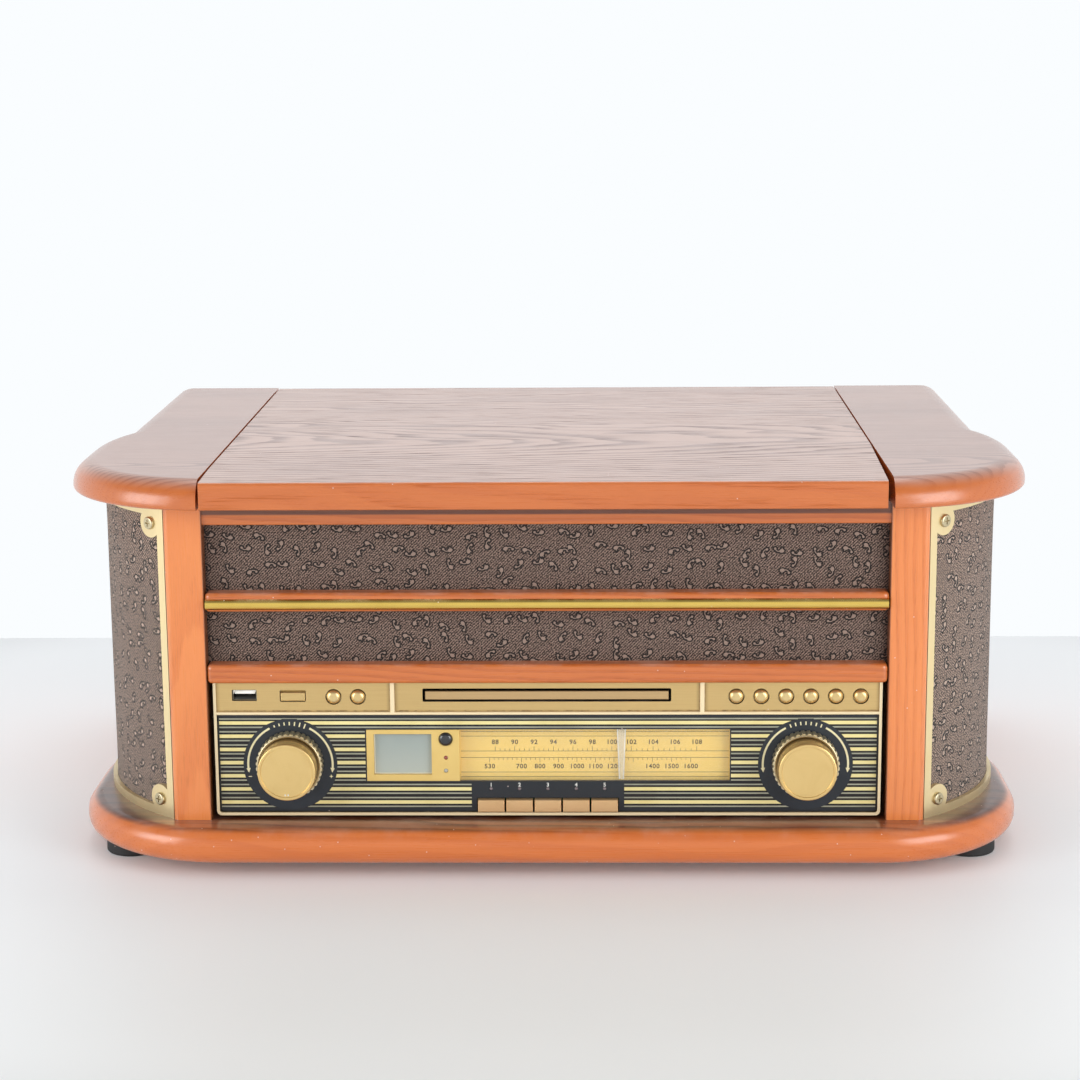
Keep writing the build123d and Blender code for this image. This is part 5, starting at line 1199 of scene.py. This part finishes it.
def makeScale():
    face, half = dial.face, dial.lineWidth / 2
    marks = [bar(dial.left, dial.right, z * mm - half, z * mm + half) for z in dial.lines]
    upperLine, lowerLine = dial.lines[2] * mm, dial.lines[3] * mm

    def addMark(x, line, rise):
        marks.append(bar(x - half, x + half, *sorted((line, line + rise))))

    def addRow(places, line, way):
        # long marks at the places, three short ones between each two
        for x, following in zip(places, places[1:] + [None]):
            addMark(x, line, way * dial.longMark)
            for quarter in (1, 2, 3) if following is not None else ():
                addMark(x + (following - x) * quarter / 4, line, way * dial.shortMark)

    uppers = [dialPlace("upperMarks", step) for step in range(11)]
    lowers = [dialPlace("lowerMarks", step) for step in range(10)]
    addRow(uppers, upperLine, 1)
    addRow(lowers, lowerLine, -1)
    start = dial.lowerStart
    addMark(start, lowerLine, -dial.longMark)
    for part in range(1, 7):
        addMark(start + (lowers[0] - start) * part / 7, lowerLine, -dial.shortMark)
    labels = [(str(88 + 2 * step), x, dial.upperRow) for step, x in enumerate(uppers)]
    labels += [(str(700 + 100 * step), x, dial.lowerRow) for step, x in enumerate(lowers)]
    # the needle stands over 1300
    labels = [label for label in labels if label[0] != "1300"]
    labels.append(("530", start, dial.lowerRow))
    raisePiece("scale_lines", marks, face, proud.dial, "dialBrown")
    makeNumbers("scale_numbers", labels, dial.numberHeight, face, proud.dial, "dialBrown")


makeScale()

keyRow = metres(z=45.6, height=2.1)
keyNumbers = [(str(key), centreOf(f"mode_key_{key}")[0], keyRow.z) for key in range(1, 6)]
makeNumbers("key_numbers", keyNumbers, keyRow.height, fascia.face, proud.numbers, "whiteInk")


# the needle's edges as white strips, a painted highlight where its clear plastic catches the light;
# each end has its height and half its width
needle = metres(centre=40.2, ends=((48.2, 1.4), (77.4, 2.5)), rim=0.55)


def makeNeedleEdges():
    strips = []
    for side in (-1, 1):
        outer, inner = (
            [(needle.centre + side * (half - back), z) for z, half in needle.ends]
            for back in (0, needle.rim)
        )
        strips.append(outer + inner[::-1])
    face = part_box("dial_needle")[0].y
    ride = {"body": "dial_needle", "slot": "clear_plastic"}
    raisePiece("needle_edges", strips, face, proud.marks, "whiteInk", **ride)


makeNeedleEdges()
print("stage: printing done")


# floor, backdrop and lamps
studio = Look(
    floorEdges=(-1.6, 1.6, -1.6, 0.365), floorColour=(242, 244, 246), floorCloud=(239, 241, 243),
    frontColour=(217, 217, 215), greyAhead=(-0.12, -0.38), greyAside=(0.1, 0.34), lift=0.08,
    fadeStart=0.42, fadeEnd=0.8, fadeColour=(238, 240, 241), worldColour=(250, 253, 255), worldGlow=0.6,
    mirrorGlow=0.95, mirrorTop=0.25,
)


def makeFloor(look):
    material, place, _ = newMaterial("floor_white")
    path = addNode("LightPath", {}, material.node_tree)
    cloud = times(noise(place, 3.0), 0.3)
    plain = mix(cloud, look.floorColour, look.floorCloud)
    # painted shadow: a little greyer in front of the cabinet, for the camera only
    x, y, z = separate(place)
    aside = fade(absolute(x), *look.greyAside, 1.0, 0.3)
    grey = times(fade(y, *look.greyAhead), aside)
    colour = mix(times(grey, path["Is Camera Ray"]), plain, look.frontColour)
    # further off, the floor shows as white as the backdrop
    seen = highest(path["Is Camera Ray"], path["Is Glossy Ray"])
    off = calcVector("LENGTH", stretch(place, 0.8, 1.0, 0.0))
    glow = times(seen, fade(off, look.fadeStart, look.fadeEnd))
    sockets = {
        "Base Color": mix(glow, colour, (0, 0, 0)),
        "Emission Color": look.fadeColour,
        "Emission Strength": highest(glow, times(path["Is Camera Ray"], look.lift)),
        "Roughness": 0.5,
        "Specular IOR Level": 0.25,
    }
    plug(material.node_tree.nodes["Principled BSDF"], sockets)
    left, right, front, back = look.floorEdges
    corners = [(left, front, 0), (right, front, 0), (right, back, 0), (left, back, 0)]
    floor = addObject("floor", makeMesh("floor", corners, [(0, 1, 2, 3)]))
    floor.data.materials.append(material)


def makeWorld(look):
    world = bpy.data.worlds.new("studio")
    scene.world = world
    world.use_nodes = True
    tree = world.node_tree
    tree.nodes.clear()
    path = addNode("LightPath", {}, tree)
    seen = highest(path["Is Camera Ray"], path["Is Transmission Ray"])
    # what gloss mirrors: bright round the horizon, darker overhead
    spot = addNode("TexCoord", {}, tree)
    rise = separate(spot["Generated"])[2]
    mirror = fade(rise, 0.25, 0.75, look.mirrorGlow, look.mirrorTop)
    glow = addNode("Mix", {0: path["Is Glossy Ray"], 2: look.worldGlow, 3: mirror})
    glow = addNode("Mix", {0: seen, 2: glow[0], 3: 1.0})
    sockets = {"Color": look.worldColour, "Strength": glow[0]}
    sky = addNode("Background", sockets)
    addNode("OutputWorld", {0: sky[0]})


softBoxes = Look(
    left=Look(place=(-1.35, -0.9, 0.46), size=0.85, power=10.2),
    right=Look(place=(1.1, -1.05, 0.46), size=0.85, power=10.2),
    back=Look(place=(0, 0.5, 1.5), size=1.0, power=7),
)
lampAim = Vector((0, 0, 0.1))


def addSoftBox(name, look):
    data = bpy.data.lights.new(name, "AREA")
    data.shape = "SQUARE"
    data.size = look.size
    data.energy = look.power
    lamp = addObject(name, data)
    lamp.location = look.place
    aim = lampAim - Vector(look.place)
    lamp.rotation_euler = aim.to_track_quat("-Z", "Y").to_euler()


makeFloor(studio)
makeWorld(studio)
for lampName, lampPlace in softBoxes.items():
    addSoftBox(lampName, lampPlace)
print("stage: studio ready")

bpy.context.view_layer.update()
